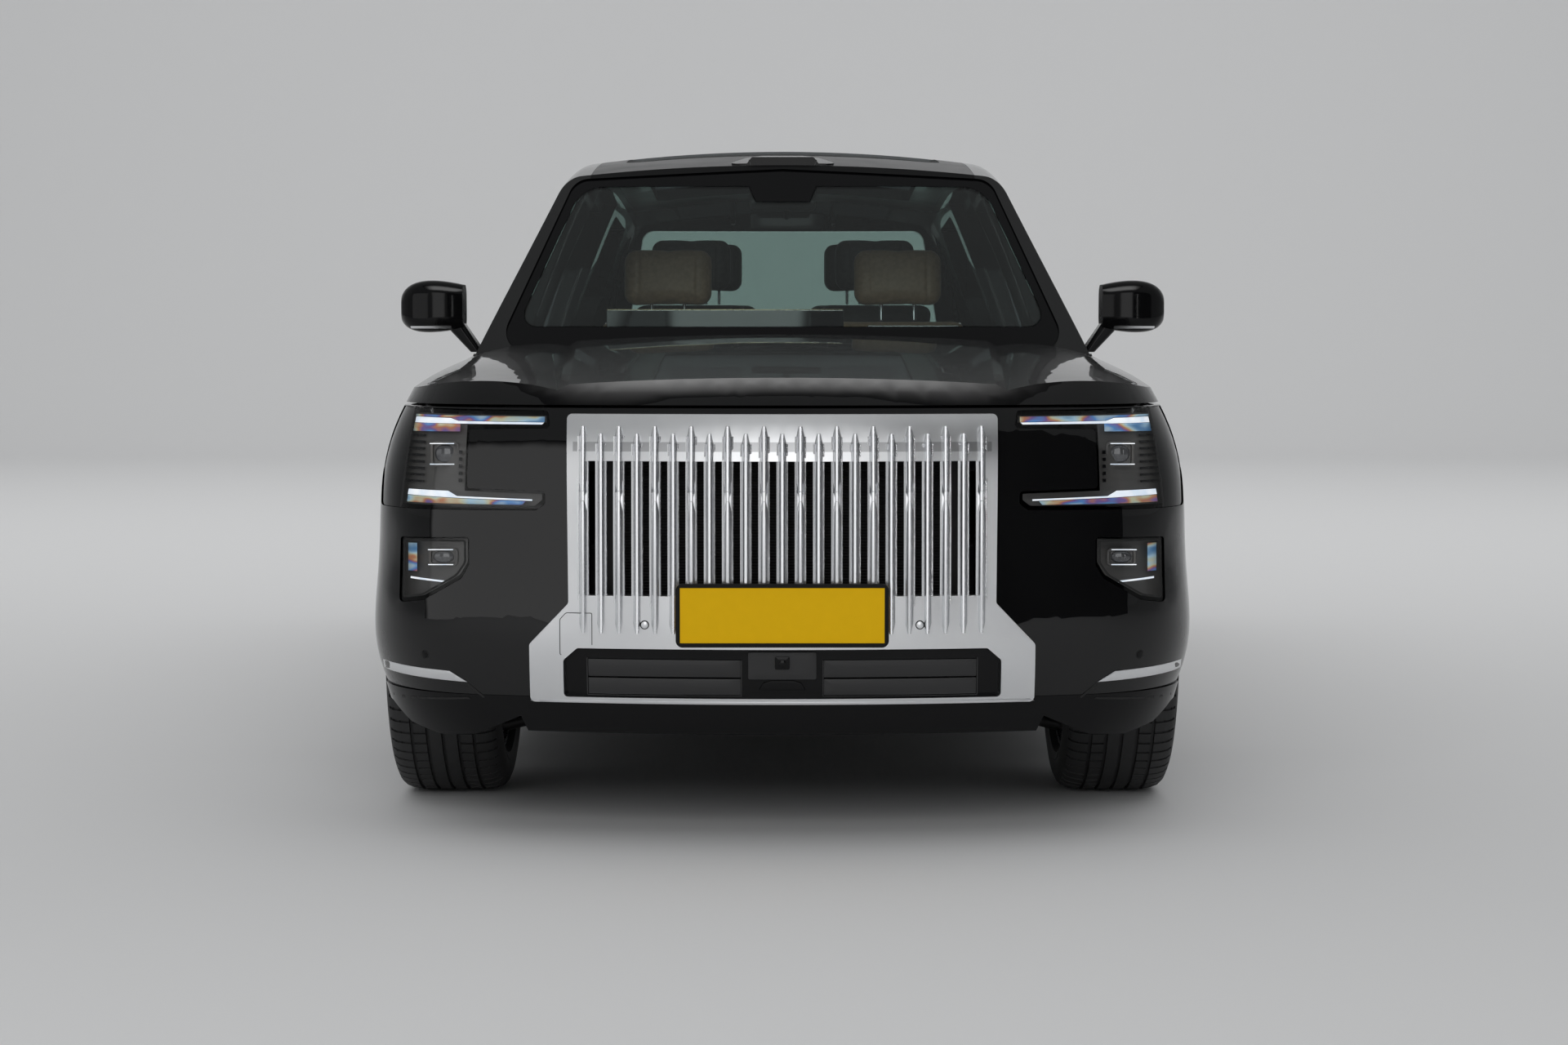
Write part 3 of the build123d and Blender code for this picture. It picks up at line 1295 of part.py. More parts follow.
REAR_FRAME_TOP = 330.0
rear_upright = upright(REAR_AXLE_Y, -1)
with BuildPart() as rear_arms:
    for dy in (-180, 180):
        add(bar((440, REAR_AXLE_Y + dy, 290), (WHEEL_X - 95, REAR_AXLE_Y + dy * 0.15, 290), 22))
        add(block(400, 450, REAR_AXLE_Y + dy - 25, REAR_AXLE_Y + dy + 25, 320, BOOT_FLOOR_TOP - SHEET - SEAT_FIT))
    add(bar((440, REAR_AXLE_Y, 322), (WHEEL_X - 95, REAR_AXLE_Y, 410), 16))
    add(rear_upright)
with BuildPart() as rear_susp:
    add(block(-470, 470, REAR_AXLE_Y - 240, REAR_AXLE_Y + 240, 250, REAR_FRAME_TOP))
    add(rear_arms.part)
    add(flip(rear_arms.part))
save("rear_suspension", rear_susp.part)
print(len(made), "pieces")
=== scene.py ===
"""A large three-row crossover in a pale studio, seen from straight in front at chest height."""

import json
import math

import bmesh
import bpy
from mathutils import Matrix, Vector
from mathutils.bvhtree import BVHTree


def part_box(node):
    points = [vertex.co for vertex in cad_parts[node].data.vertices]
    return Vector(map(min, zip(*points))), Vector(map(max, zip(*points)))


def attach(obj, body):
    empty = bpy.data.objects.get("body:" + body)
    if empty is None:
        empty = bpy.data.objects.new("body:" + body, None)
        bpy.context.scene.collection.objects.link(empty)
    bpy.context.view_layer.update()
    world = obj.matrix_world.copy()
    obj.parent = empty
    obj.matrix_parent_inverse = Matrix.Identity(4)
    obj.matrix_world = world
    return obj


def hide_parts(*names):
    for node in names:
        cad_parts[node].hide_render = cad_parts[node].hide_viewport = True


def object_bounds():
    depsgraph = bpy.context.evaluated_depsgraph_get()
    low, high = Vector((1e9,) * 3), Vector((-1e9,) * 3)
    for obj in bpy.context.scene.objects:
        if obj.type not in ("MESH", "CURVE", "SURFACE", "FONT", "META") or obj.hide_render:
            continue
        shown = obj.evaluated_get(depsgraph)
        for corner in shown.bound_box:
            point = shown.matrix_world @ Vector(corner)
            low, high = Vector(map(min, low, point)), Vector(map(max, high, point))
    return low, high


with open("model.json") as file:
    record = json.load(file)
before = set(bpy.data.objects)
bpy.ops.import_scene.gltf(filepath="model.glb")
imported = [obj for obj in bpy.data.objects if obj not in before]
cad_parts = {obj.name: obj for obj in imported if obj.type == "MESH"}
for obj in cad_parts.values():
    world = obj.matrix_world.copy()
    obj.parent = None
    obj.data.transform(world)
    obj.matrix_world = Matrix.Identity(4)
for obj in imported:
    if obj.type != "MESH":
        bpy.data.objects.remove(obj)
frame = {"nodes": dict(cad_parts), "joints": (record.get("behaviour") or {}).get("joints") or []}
cad_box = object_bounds()

# -------- studio and camera
# A pale seamless floor that sweeps up into two pale walls meeting in a faint corner. Glowing cloth panels
# show only in the gloss of the car, and a black flag on its left keeps that side of the paint deep black.
NOSE_Y = cad_box[0].y
CAMERA_AT = (0.004, NOSE_Y - 6.2, 1.2)
CAMERA_TILT, CAMERA_LENS = 4.0, 62.3
SWEEP_FOOT_Y, SWEEP_RADIUS, SWEEP_TOP_Z, SWEEP_STEPS = 17.5, 6.0, 24.0, 24
WALL_CORNER_X, WALL_SLANT = -1.40, 0.10
STAGE_HALF = 60.0
SAME = 0.001  # places on the stage that differ by less are the same

bpy.context.scene.view_settings.view_transform = "Standard"


def data_of(name, mesh):
    """Turns a bmesh into mesh data, and frees it."""
    data = bpy.data.meshes.new(name)
    mesh.to_mesh(data)
    mesh.free()
    return data


def added(name, data):
    """Puts a mesh, a lamp or a camera into the scene."""
    made = bpy.data.objects.new(name, data)
    bpy.context.scene.collection.objects.link(made)
    return made


def stage_part(name, mesh, color, roughness, unseen_by=()):
    """Turns a bmesh into a piece of the studio, kept out of some kinds of light."""
    data = data_of(name, mesh)
    data.shade_smooth()
    part = added(name, data)
    matte = bpy.data.materials.new(name + "_matte")
    matte.use_nodes = True
    shader = matte.node_tree.nodes["Principled BSDF"]
    shader.inputs["Base Color"].default_value = (*color, 1)
    shader.inputs["Roughness"].default_value = roughness
    shader.inputs["Specular IOR Level"].default_value = 0.0
    data.materials.append(matte)
    for ray in unseen_by:
        setattr(part, "visible_" + ray, False)
    return part


def drawn_out(mesh, edges, vec):
    """Draws edges out into faces, and gives back the new edges."""
    made = bmesh.ops.extrude_edge_only(mesh, edges=edges)["geom"]
    bmesh.ops.translate(mesh, verts=[g for g in made if isinstance(g, bmesh.types.BMVert)], vec=vec)
    return [g for g in made if isinstance(g, bmesh.types.BMEdge)]


def flat_sheet(width, height):
    """One flat face about the origin."""
    sheet = bmesh.new()
    bmesh.ops.create_grid(sheet, x_segments=1, y_segments=1, size=0.5)
    bmesh.ops.scale(sheet, verts=sheet.verts, vec=(width, height, 1))
    return sheet


def moved(mesh, by):
    """Moves a bmesh by a vector, or turns and moves it by a matrix, and gives it back."""
    matrix = by if isinstance(by, Matrix) else Matrix.Translation(by)
    bmesh.ops.transform(mesh, verts=mesh.verts, matrix=matrix)
    return mesh


def about_x(degrees):
    return Matrix.Rotation(math.radians(degrees), 4, "X")


sweep = bmesh.new()
rail = [sweep.verts.new((-STAGE_HALF, y, 0)) for y in (-STAGE_HALF, SWEEP_FOOT_Y)]
sweep.edges.new(rail)
curve = bmesh.ops.spin(
    sweep,
    geom=[rail[1]],
    cent=(0, SWEEP_FOOT_Y, SWEEP_RADIUS),
    axis=(1, 0, 0),
    angle=math.radians(90),
    steps=SWEEP_STEPS,
)
top = next(v for v in curve["geom_last"] if isinstance(v, bmesh.types.BMVert))
sweep.edges.new((top, sweep.verts.new((-STAGE_HALF, SWEEP_FOOT_Y + SWEEP_RADIUS, SWEEP_TOP_Z))))
corner = drawn_out(sweep, sweep.edges[:], (STAGE_HALF + WALL_CORNER_X, 0, 0))
seam = [e for e in corner if all(abs(v.co.x - WALL_CORNER_X) < SAME for v in e.verts)]
drawn_out(sweep, seam, (STAGE_HALF - WALL_CORNER_X, 0, 0))
level = [e for e in sweep.edges if e.calc_length() - abs(e.verts[0].co.x - e.verts[1].co.x) < SAME]
bmesh.ops.subdivide_edges(sweep, edges=level, cuts=SWEEP_STEPS, use_grid_fill=True)
for v in sweep.verts:  # the two walls lean away from each other, so that they meet in a corner
    if v.co.y > SWEEP_FOOT_Y + 0.01:
        rise = min(1.0, (v.co.y - SWEEP_FOOT_Y) / SWEEP_RADIUS)
        v.co.y -= abs(v.co.x - WALL_CORNER_X) * WALL_SLANT * rise
bmesh.ops.recalc_face_normals(sweep, faces=sweep.faces)
stage_part("studio_sweep", sweep, (0.80, 0.80, 0.805), 0.8)

flag = moved(flat_sheet(10.8, 7.0), Matrix.Translation((7.3, -9.6, 2.2)) @ about_x(90))
stage_part("black_flag", flag, (0.004, 0.004, 0.004), 0.9, unseen_by=("camera", "diffuse", "shadow"))

world = bpy.data.worlds.new("studio_air")
bpy.context.scene.world = world
world.use_nodes = True
world.node_tree.nodes["Background"].inputs["Color"].default_value = (0.60, 0.615, 0.62, 1)
world.node_tree.nodes["Background"].inputs["Strength"].default_value = 0.42


class Signal:
    """One value, colour or vector inside a material. Python's signs on values add Math nodes."""

    def __init__(self, tree, socket):
        self.tree = tree
        self.socket = socket

    def math(self, operation, *values):
        step = self.tree.nodes.new("ShaderNodeMath")
        step.operation = operation
        for slot, value in zip(step.inputs, values):
            put(value, slot)
        return Signal(self.tree, step.outputs[0])

    def __add__(self, other):
        return self.math("ADD", self, other)

    def __radd__(self, other):
        return self.math("ADD", other, self)

    def __sub__(self, other):
        return self.math("SUBTRACT", self, other)

    def __rsub__(self, other):
        return self.math("SUBTRACT", other, self)

    def __mul__(self, other):
        return self.math("MULTIPLY", self, other)

    def __rmul__(self, other):
        return self.math("MULTIPLY", other, self)

    def __gt__(self, other):
        return self.math("GREATER_THAN", self, other)

    def __lt__(self, other):
        return self.math("LESS_THAN", self, other)

    def __abs__(self):
        return self.math("ABSOLUTE", self)

    def most(self, other):
        return self.math("MAXIMUM", self, other)

    def sine(self):
        return self.math("SINE", self)


def put(value, socket):
    """Links a signal to a socket, or sets a constant on it."""
    if isinstance(value, Signal):
        value.tree.links.new(value.socket, socket)
    else:
        socket.default_value = value


class Finish:
    """A material while it is being mixed, around one Principled shader."""

    def __init__(self, name, color, roughness, **sockets):
        self.material = bpy.data.materials.new(name)
        self.material.use_nodes = True
        self.material.diffuse_color = (*color, 1)
        self.tree = self.material.node_tree
        self.shader = self.tree.nodes["Principled BSDF"]
        self.set(Base_Color=(*color, 1), Roughness=roughness, **sockets)

    def set(self, **sockets):
        """Sets or links the shader's own sockets; an underscore stands for a space."""
        for name, value in sockets.items():
            put(value, self.shader.inputs[name.replace("_", " ")])

    def node(self, kind, settings=None, sockets=None, output=0):
        """Adds one node: its settings first, a ramp's stops among them, then its sockets' values or links."""
        made = self.tree.nodes.new("ShaderNode" + kind)
        settings = dict(settings or {})
        stops = settings.pop("stops", ())
        for name, value in settings.items():
            setattr(made, name, value)
        while stops and len(made.color_ramp.elements) < len(stops):
            made.color_ramp.elements.new(0.5)
        for i, (at, color) in enumerate(stops):
            made.color_ramp.elements[i].position = at
            made.color_ramp.elements[i].color = (*color, 1)
        for name, value in (sockets or {}).items():
            put(value, made.inputs[name])
        return Signal(self.tree, made.outputs[output])

    def place(self, scale=None):
        """Where a point is on the car, in metres, stretched if asked."""
        where = self.node("TexCoord", output="Object")
        return self.node("Mapping", None, {"Vector": where, "Scale": scale}) if scale else where

    def axes(self, vector=None):
        """The three parts of a vector, or the three coordinates of a point on the car."""
        parts = self.node("SeparateXYZ", None, {"Vector": vector or self.place()})
        return [Signal(self.tree, out) for out in parts.socket.node.outputs]

    def noise(self, scale, detail=2.0, where=None):
        sockets = {"Scale": scale, "Detail": detail, "Vector": where or self.place()}
        return self.node("TexNoise", None, sockets)

    def cells(self, scale):
        return self.node("TexVoronoi", None, {"Scale": scale, "Vector": self.place()})

    def step(self, value, low, high):
        """0 below low, 1 above high and smooth between."""
        sockets = {"Value": value, "From Min": low, "From Max": high}
        return self.node("MapRange", {"interpolation_type": "SMOOTHSTEP"}, sockets)

    def blend(self, share, low, high):
        """Mixes two colours by a share from 0 to 1."""
        ends = [(*c, 1) if isinstance(c, tuple) else c for c in (low, high)]
        return self.node("Mix", {"data_type": "RGBA"}, {0: share, 6: ends[0], 7: ends[1]}, output=2)

    def bump(self, height, distance, strength=1.0, under=None):
        sockets = {"Height": height, "Distance": distance, "Strength": strength}
        return self.node("Bump", None, {**sockets, "Normal": under} if under else sockets)


def aimed(place, aim):
    """The turn that faces a lamp from its place to what it lights."""
    return (Vector(aim) - Vector(place)).to_track_quat("-Z", "Y")


def soft_panel(name, place, aim, size, power, fade):
    """A lit cloth panel that only shines in gloss, and fades out towards its edges."""
    cloth = Finish(name + "_cloth", (0, 0, 0), 1.0, Emission_Strength=power / (math.pi * size[0] * size[1]))
    x, y, _ = cloth.axes()
    inward = cloth.step(size[0] / 2 - abs(x), 0.0, fade) * cloth.step(size[1] / 2 - abs(y), 0.0, fade)
    cloth.set(Emission_Color=cloth.blend(inward, (0, 0, 0), (1, 1, 1)))
    unseen_by = ("camera", "diffuse", "shadow", "transmission")
    panel = stage_part(name, flat_sheet(*size), (0, 0, 0), 1.0, unseen_by)
    panel.data.materials[0] = cloth.material
    panel.matrix_world = Matrix.Translation(place) @ aimed(place, aim).to_matrix().to_4x4()


def fill_light(name, place, aim, size, power):
    """A broad light that shades the studio and the car, and isn't mirrored in either."""
    lamp = bpy.data.lights.new(name, "AREA")
    lamp.shape = "RECTANGLE"
    lamp.size, lamp.size_y = size
    lamp.energy = power
    holder = added(name, lamp)
    holder.location = place
    holder.rotation_euler = aimed(place, aim).to_euler()
    holder.visible_camera = holder.visible_glossy = False


soft_panel("nose_softbox", (0, -3.2, 4.8), (0, -3.2, 0), (5.2, 4.2), 400, fade=1.5)
soft_panel("right_hand_softbox", (-6.4, -8.2, 1.9), (-0.6, -2.4, 0.8), (8.4, 5.4), 140, fade=0.8)
soft_panel("front_panel", (0, -14.5, 3.0), (0, -2.6, 0.8), (5.6, 8.2), 235, fade=0.5)
soft_panel("edge_light", (3.3, -9.2, 1.3), (0.9, -2.4, 0.8), (0.10, 3.0), 9, fade=0.02)
fill_light("ceiling_fill", (0, 1.0, 13.0), (0, 1.0, 0), (26, 26), 860)
fill_light("wall_wash", (0, 3.0, 16.0), (0, 24.0, 8.0), (30, 12), 1500)
fill_light("front_fill", (-1.0, -10.5, 4.6), (0, -2.6, 0.4), (9, 4), 200)

camera_data = bpy.data.cameras.new("camera")
camera_data.sensor_width = 36.0
camera_data.lens = CAMERA_LENS
camera = added("camera", camera_data)
camera.location = CAMERA_AT
camera.rotation_euler = (math.radians(90 - CAMERA_TILT), 0, 0)
bpy.context.scene.camera = camera


# -------- painted panels
# Pressed aluminium and steel panels in solid black, under a thick clear lacquer that is thinner on the roof.
# It has the very faint ripple that sprayed paint has, and a film of dust that dulls it here and there.
def dress(finish, *nodes):
    """Gives CAD nodes a finish."""
    for name in nodes:
        for held in frame["nodes"][name].material_slots:
            held.material = finish.material


def lacquer(name, color, roughness, coat, coat_roughness):
    made = Finish(
        name, color, roughness, Coat_Weight=coat, Coat_Roughness=coat_roughness, Specular_IOR_Level=0.05
    )
    dust = made.step(made.noise(2.2, 4.0), 0.42, 0.75)
    made.set(
        Normal=made.bump(made.noise(60.0), 0.00005, 0.3),
        Base_Color=made.blend(dust, (0.0022, 0.0022, 0.0026), (0.0038, 0.0038, 0.0042)),
        Roughness=roughness - 0.02 + 0.12 * dust,
    )
    return made


CORNERS = [(end, side) for end in ("front", "rear") for side in ("left", "right")]
paint = lacquer("black_lacquer", (0.0045, 0.0045, 0.005), 0.32, 0.85, 0.02)
dress(paint, "side_frames", "front_fenders", "front_bumper", "rear_bumper", "bonnet", "tailgate")
dress(paint, *(f"door_{end}_{side}" for end, side in CORNERS))
dress(lacquer("roof_lacquer", (0.0035, 0.0035, 0.004), 0.34, 0.30, 0.03), "roof_panel")


# -------- grille
# A cast and plated surround with twenty-three pointed bars, bright on the bars and silkier on the surround,
# which has painted shade in a band under its top face.
# The towing eye's cover is a thin joint in it, and two round parking sensors are pressed in from behind.
def skin_of(*nodes):
    """The faces of CAD nodes, ready to lay trim on."""
    points, faces = [], []
    for name in nodes:
        data = frame["nodes"][name].data
        first = len(points)
        points += [v.co.copy() for v in data.vertices]
        faces += [tuple(first + i for i in p.vertices) for p in data.polygons]
    return BVHTree.FromPolygons(points, faces)


RAYS = {  # for each side of the car: the two axes an outline is drawn on, and the way it is pressed
    "front": ((1, 0, 0), (0, 0, 1), (0, 1, 0)),
    "back": ((1, 0, 0), (0, 0, 1), (0, -1, 0)),
    "left": ((0, 1, 0), (0, 0, 1), (-1, 0, 0)),
    "right": ((0, 1, 0), (0, 0, 1), (1, 0, 0)),
}
REACH = 4.0


def spot_on(skin, a, b, side="front"):
    """Where a skin is met from one side of the car, and the way it faces there."""
    across, up, way = (Vector(v) for v in RAYS[side])
    return skin.ray_cast(across * a + up * b - way * REACH, way)[:2]


def oblong(x0, z0, x1, z1):
    """The outline of a rectangle between two corners."""
    return [(x0, z0), (x1, z0), (x1, z1), (x0, z1)]


def soften(mesh, geom, offset, segments=2, affect="EDGES"):
    """Rounds edges, or the corners of a flat sheet."""
    bmesh.ops.bevel(
        mesh, geom=geom, offset=offset, segments=segments, affect=affect, profile=0.5, material=-1
    )


def all_of(mesh):
    return mesh.verts[:] + mesh.edges[:] + mesh.faces[:]


def cut_across(mesh, at, axis):
    bmesh.ops.bisect_plane(mesh, geom=all_of(mesh), plane_co=at, plane_no=axis)


def pressed(skin, outline, lift, thick, side="front", corner=0.0, ring=0.0, grid=0.03, edge=0.0006):
    """Cuts an outline from sheet, presses it on to a skin and gives it a thickness and soft edges."""
    across, up, way = (Vector(v) for v in RAYS[side])
    sheet = bmesh.new()
    sheet.faces.new([sheet.verts.new(across * a + up * b - way * REACH) for a, b in outline])
    if corner:
        soften(sheet, sheet.verts[:], corner, 5, "VERTICES")
    if ring:
        inner = bmesh.ops.inset_region(
            sheet, faces=sheet.faces[:], thickness=ring, use_boundary=True, use_even_offset=True
        )
        ring_faces = set(inner["faces"])
        bmesh.ops.delete(sheet, geom=[f for f in sheet.faces if f not in ring_faces], context="FACES")
    for axis in (across, up):
        marks = [v.co.dot(axis) for v in sheet.verts]
        low, high = min(marks), max(marks)
        count = math.ceil((high - low) / grid)
        for i in range(1, count):
            cut_across(sheet, axis * (low + (high - low) * i / count) - way * REACH, axis)
    missed = []
    for v in sheet.verts:
        hit = skin.ray_cast(v.co, way)[0]
        if hit is None:
            missed.append(v)
        else:
            v.co += way * ((hit - v.co).dot(way) - lift)
    bmesh.ops.delete(sheet, geom=missed, context="VERTS")
    grown = bmesh.ops.extrude_face_region(sheet, geom=sheet.faces[:])
    proud = {g for g in grown["geom"] if isinstance(g, bmesh.types.BMVert)}
    bmesh.ops.translate(sheet, verts=list(proud), vec=-way * thick)
    bmesh.ops.recalc_face_normals(sheet, faces=sheet.faces[:])
    if edge:
        rim = [
            e for e in sheet.edges
            if proud.issuperset(e.verts) and not all(proud.issuperset(f.verts) for f in e.link_faces)
        ]
        soften(sheet, rim, edge)
    return sheet


def gather(parts):
    """Joins bmeshes into a new one, and frees them."""
    whole = bmesh.new()
    for part in parts:
        data = data_of("part", part)
        whole.from_mesh(data)
        bpy.data.meshes.remove(data)
    return whole


def make_piece(name, mesh, finish, body="body", smooth_below=38.0):
    """Turns a finished bmesh, or a list of them, into a piece that rides on a body."""
    if isinstance(mesh, list):
        mesh = gather(mesh)
    data = data_of(name, mesh)
    data.shade_smooth()
    data.set_sharp_from_angle(angle=math.radians(smooth_below))
    data.materials.append(finish.material)
    piece = added(name, data)
    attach(piece, body)
    return piece


def make_pair(name, parts, finish):
    """Makes one piece of some parts and their mirror image on the car's other side."""
    mesh = gather(parts)
    bmesh.ops.mirror(mesh, geom=all_of(mesh), axis="X", merge_dist=1e-6)
    bmesh.ops.recalc_face_normals(mesh, faces=mesh.faces[:])
    return make_piece(name, mesh, finish)


def disc(at, axis, radius, depth, edge=0.001, sides=32):
    """A short round stud with soft rims, from its middle along an axis."""
    stud = bmesh.new()
    bmesh.ops.create_cone(stud, cap_ends=True, segments=sides, radius1=radius, radius2=radius, depth=depth)
    soften(stud, [e for e in stud.edges if abs(e.verts[0].co.z - e.verts[1].co.z) < 1e-7], edge)
    turn = Vector((0, 0, 1)).rotation_difference(Vector(axis)).to_matrix().to_4x4()
    return moved(stud, Matrix.Translation(at) @ turn)


BAR_ZONE_X, BEVEL_SHADE_HALF_X, BEVEL_SHADE_LOW_Z, BEVEL_SHADE_HIGH_Z = 0.476, 0.486, 0.925, 0.949
chrome = Finish("plated_metal", (0.80, 0.81, 0.82), 0.10, Metallic=1.0)
facing = chrome.axes(chrome.node("NewGeometry", output="Normal"))[0]
chrome_x, _, chrome_z = chrome.axes()
polished = (abs(facing) > 0.35) * (abs(chrome_x) < BAR_ZONE_X)
haze = chrome.noise(9.0, 4.0)
# Painted shade: the plating is darkened in a band just under the surround's top face, in place of the shade
# of a bevel that the shape lacks.
bevel_shade_foot = chrome.step(chrome_z, BEVEL_SHADE_LOW_Z, BEVEL_SHADE_LOW_Z + 0.002)
bevel_shade_head = chrome.step(chrome_z, BEVEL_SHADE_HIGH_Z, BEVEL_SHADE_HIGH_Z - 0.002)
painted_bevel_shade = bevel_shade_foot * bevel_shade_head * (abs(chrome_x) < BEVEL_SHADE_HALF_X)
plating = chrome.blend(haze, (0.76, 0.77, 0.79), (0.84, 0.85, 0.86))
chrome.set(
    Roughness=0.26 - 0.20 * polished + 0.05 * haze,
    Base_Color=chrome.blend(0.55 * painted_bevel_shade, plating, (0.22, 0.22, 0.23)),
    Normal=chrome.bump(chrome.noise(240.0), 0.00002, 0.25),
)
dress(chrome, "grille")

bar_plate = Finish("bar_plating", (0.72, 0.73, 0.75), 0.2, Metallic=0.88)
streak = bar_plate.noise(30.0, 3.0, bar_plate.place((1, 1, 0.12)))
bar_plate.set(
    Roughness=0.13 + 0.14 * streak, Base_Color=bar_plate.blend(streak, (0.66, 0.67, 0.69), (0.80, 0.81, 0.83))
)
grille_skin = skin_of("grille")
BARS, PITCH = 23, 0.042
RIDGE_PROUD, FLANGE_PROUD, BAR_BACK = 0.0315, 0.0160, 0.006
TAPER, TIP_HALF = 0.024, 0.0045
FLAT, NARROW = (0.0132,) * 3, (TIP_HALF,) * 3  # a bar's half width at its root, its tip and its crest
RIDGED = (0.0098, TIP_HALF, 0.0036)
FOOT_Z, SHORT_TOP_Z, TALL_TOP_Z, UPPER_END_Z, LOWER_START_Z = 0.506, 0.968, 0.985, 0.836, 0.812
BRIDGE_GAP = 0.0012
SOUNDINGS = (0.935, 0.845, 0.740, 0.640, 0.540)


def skin_depths(x):
    """How far back the nose stands behind one bar, sounded at a few heights through its ridge."""
    return [(z, spot_on(grille_skin, x, z)[0].y + 0.030) for z in SOUNDINGS]


def depth_at(found, z):
    for (z1, y1), (z0, y0) in zip(found, found[1:]):
        if z >= z0 or (z0, y0) == found[-1]:
            return y0 + (y1 - y0) * (z - z0) / (z1 - z0)


def spear(x, top, foot, found, taper, halves, proud, base):
    """A bar with a flat crest, from a box cut at its shoulders and drawn in to its tips."""
    root, tip, crest = halves
    rod = bmesh.new()
    bmesh.ops.create_cube(rod, size=2)
    for v in rod.verts:
        v.co = Vector((v.co.x * (crest if v.co.y < 0 else root), v.co.y, foot if v.co.z < 0 else top))
    cuts = set(SOUNDINGS)
    if taper:
        cuts = {top - taper, foot + taper, *(z for z in SOUNDINGS if foot + taper < z < top - taper)}
    for z in cuts:
        cut_across(rod, (0, 0, z), (0, 0, 1))
    for v in rod.verts:
        if min(top - v.co.z, v.co.z - foot) < 1e-4:
            v.co.x = math.copysign(min(abs(v.co.x), tip), v.co.x)
        v.co.x += x
        v.co.y = depth_at(found, v.co.z) - (proud if v.co.y < 0 else base)
    bmesh.ops.recalc_face_normals(rod, faces=rod.faces[:])
    soften(rod, [e for e in rod.edges if abs((e.verts[0].co - e.verts[1].co).normalized().z) > 0.8], 0.0007)
    return rod


bars = []
for i in range(BARS):
    x = (i - (BARS - 1) / 2) * PITCH
    found = skin_depths(x)
    tall = i % 2 == 0
    runs = ((TALL_TOP_Z, UPPER_END_Z), (LOWER_START_Z, FOOT_Z)) if tall else ((SHORT_TOP_Z, FOOT_Z),)
    bars.append(spear(x, runs[0][0] - TAPER, FOOT_Z + TAPER, found, 0, FLAT, FLANGE_PROUD, -BAR_BACK))
    for top, foot in runs:
        bars.append(spear(x, top, foot, found, TAPER, RIDGED, RIDGE_PROUD, FLANGE_PROUD - 0.001))
        bars.append(spear(x, top, foot, found, TAPER, NARROW, FLANGE_PROUD + 0.004, -BAR_BACK))
    if tall:
        top, foot = UPPER_END_Z - BRIDGE_GAP, LOWER_START_Z + BRIDGE_GAP
        bars.append(spear(x, top, foot, found, 0, NARROW, RIDGE_PROUD - 0.0004, FLANGE_PROUD - 0.001))
make_piece("grille_bars", bars, bar_plate, smooth_below=30.0)

shadow_joint = Finish("dark_joint", (0.006, 0.006, 0.006), 0.6)
shadow_joint.set(Roughness=0.5 + 0.3 * shadow_joint.noise(80.0))
COVER = [(-0.518, 0.452), (-0.441, 0.452), (-0.441, 0.552), (-0.503, 0.552), (-0.518, 0.536)]
cover = pressed(grille_skin, COVER, 0.0002, 0.0005, corner=0.004, ring=0.0016, edge=0)
make_piece("towing_eye_cover_joint", cover, shadow_joint)

sensor_at = spot_on(grille_skin, 0.3185, 0.5255)[0]
sensor = disc(sensor_at + Vector((0, -0.0005, 0)), (0, -1, 0), 0.0085, 0.006, 0.0012)
make_pair("grille_sensors", [sensor], chrome)
sensor_ring = disc(sensor_at, (0, -1, 0), 0.0105, 0.003, 0.0004)
make_pair("grille_sensor_joints", [sensor_ring], shadow_joint)

# -------- radiator and lower intake
# A black finned radiator behind the bars, with painted light and shade on its rows of fins, and a gloss-black
# lower grille with two broad slats on each side of a plain panel that carries the parking camera.
moulded = Finish("moulded_black_plastic", (0.022, 0.022, 0.023), 0.5)
moulded.set(
    Normal=moulded.bump(moulded.cells(900.0), 0.0001, 0.35),
    Roughness=0.42 + 0.2 * moulded.noise(12.0, 3.0),
    Base_Color=moulded.blend(moulded.noise(5.0), (0.016, 0.016, 0.017), (0.028, 0.028, 0.029)),
)
dress(moulded, "cowl", "firewall", "front_arch_liners", "rear_arch_liners", "engine_block")

fins = Finish("radiator_fins", (0.010, 0.010, 0.011), 0.55)
fin_ridges_and_shade = (fins.axes()[2] * 900.0).sine()
# Painted light and shade: the fins' colour is lighter on the ridges of their bump and darker between them.
fins.set(
    Normal=fins.bump(fin_ridges_and_shade, 0.0008, 0.8),
    Base_Color=fins.blend(fin_ridges_and_shade * 0.5 + 0.5, (0.004, 0.004, 0.004), (0.016, 0.016, 0.017)),
)
dress(fins, "radiator")

piano = Finish("gloss_black_plastic", (0.005, 0.005, 0.0055), 0.09, Specular_IOR_Level=0.20)
piano.set(Roughness=0.08 + 0.06 * piano.noise(14.0, 3.0), Normal=piano.bump(piano.noise(90.0), 0.00004, 0.25))
dress(piano, "lower_intake", "front_lip", "roof_sensor")

EYE_Z = 0.437
intake_skin = skin_of("lower_intake")
hood = pressed(intake_skin, oblong(-0.079, 0.398, 0.079, 0.462), 0.0, 0.006, corner=0.004)
make_piece("camera_panel", hood, moulded)
HOOK_COVER = [
    (-0.066, 0.352), (0.066, 0.352), (0.044, 0.389), (0.026, 0.394), (-0.026, 0.394), (-0.044, 0.389)
]
make_piece("tow_hook_cover", pressed(intake_skin, HOOK_COVER, 0.001, 0.004, edge=0.001), piano)
eye_box = pressed(intake_skin, oblong(-0.017, 0.422, 0.017, 0.452), 0.004, 0.006, corner=0.004)
eye = disc(spot_on(intake_skin, 0, EYE_Z)[0] + Vector((0, -0.0115, 0)), (0, -1, 0), 0.0085, 0.006)
make_piece("parking_camera", [eye_box, eye], piano)
SLAT_LINES = (0.390, 0.422)


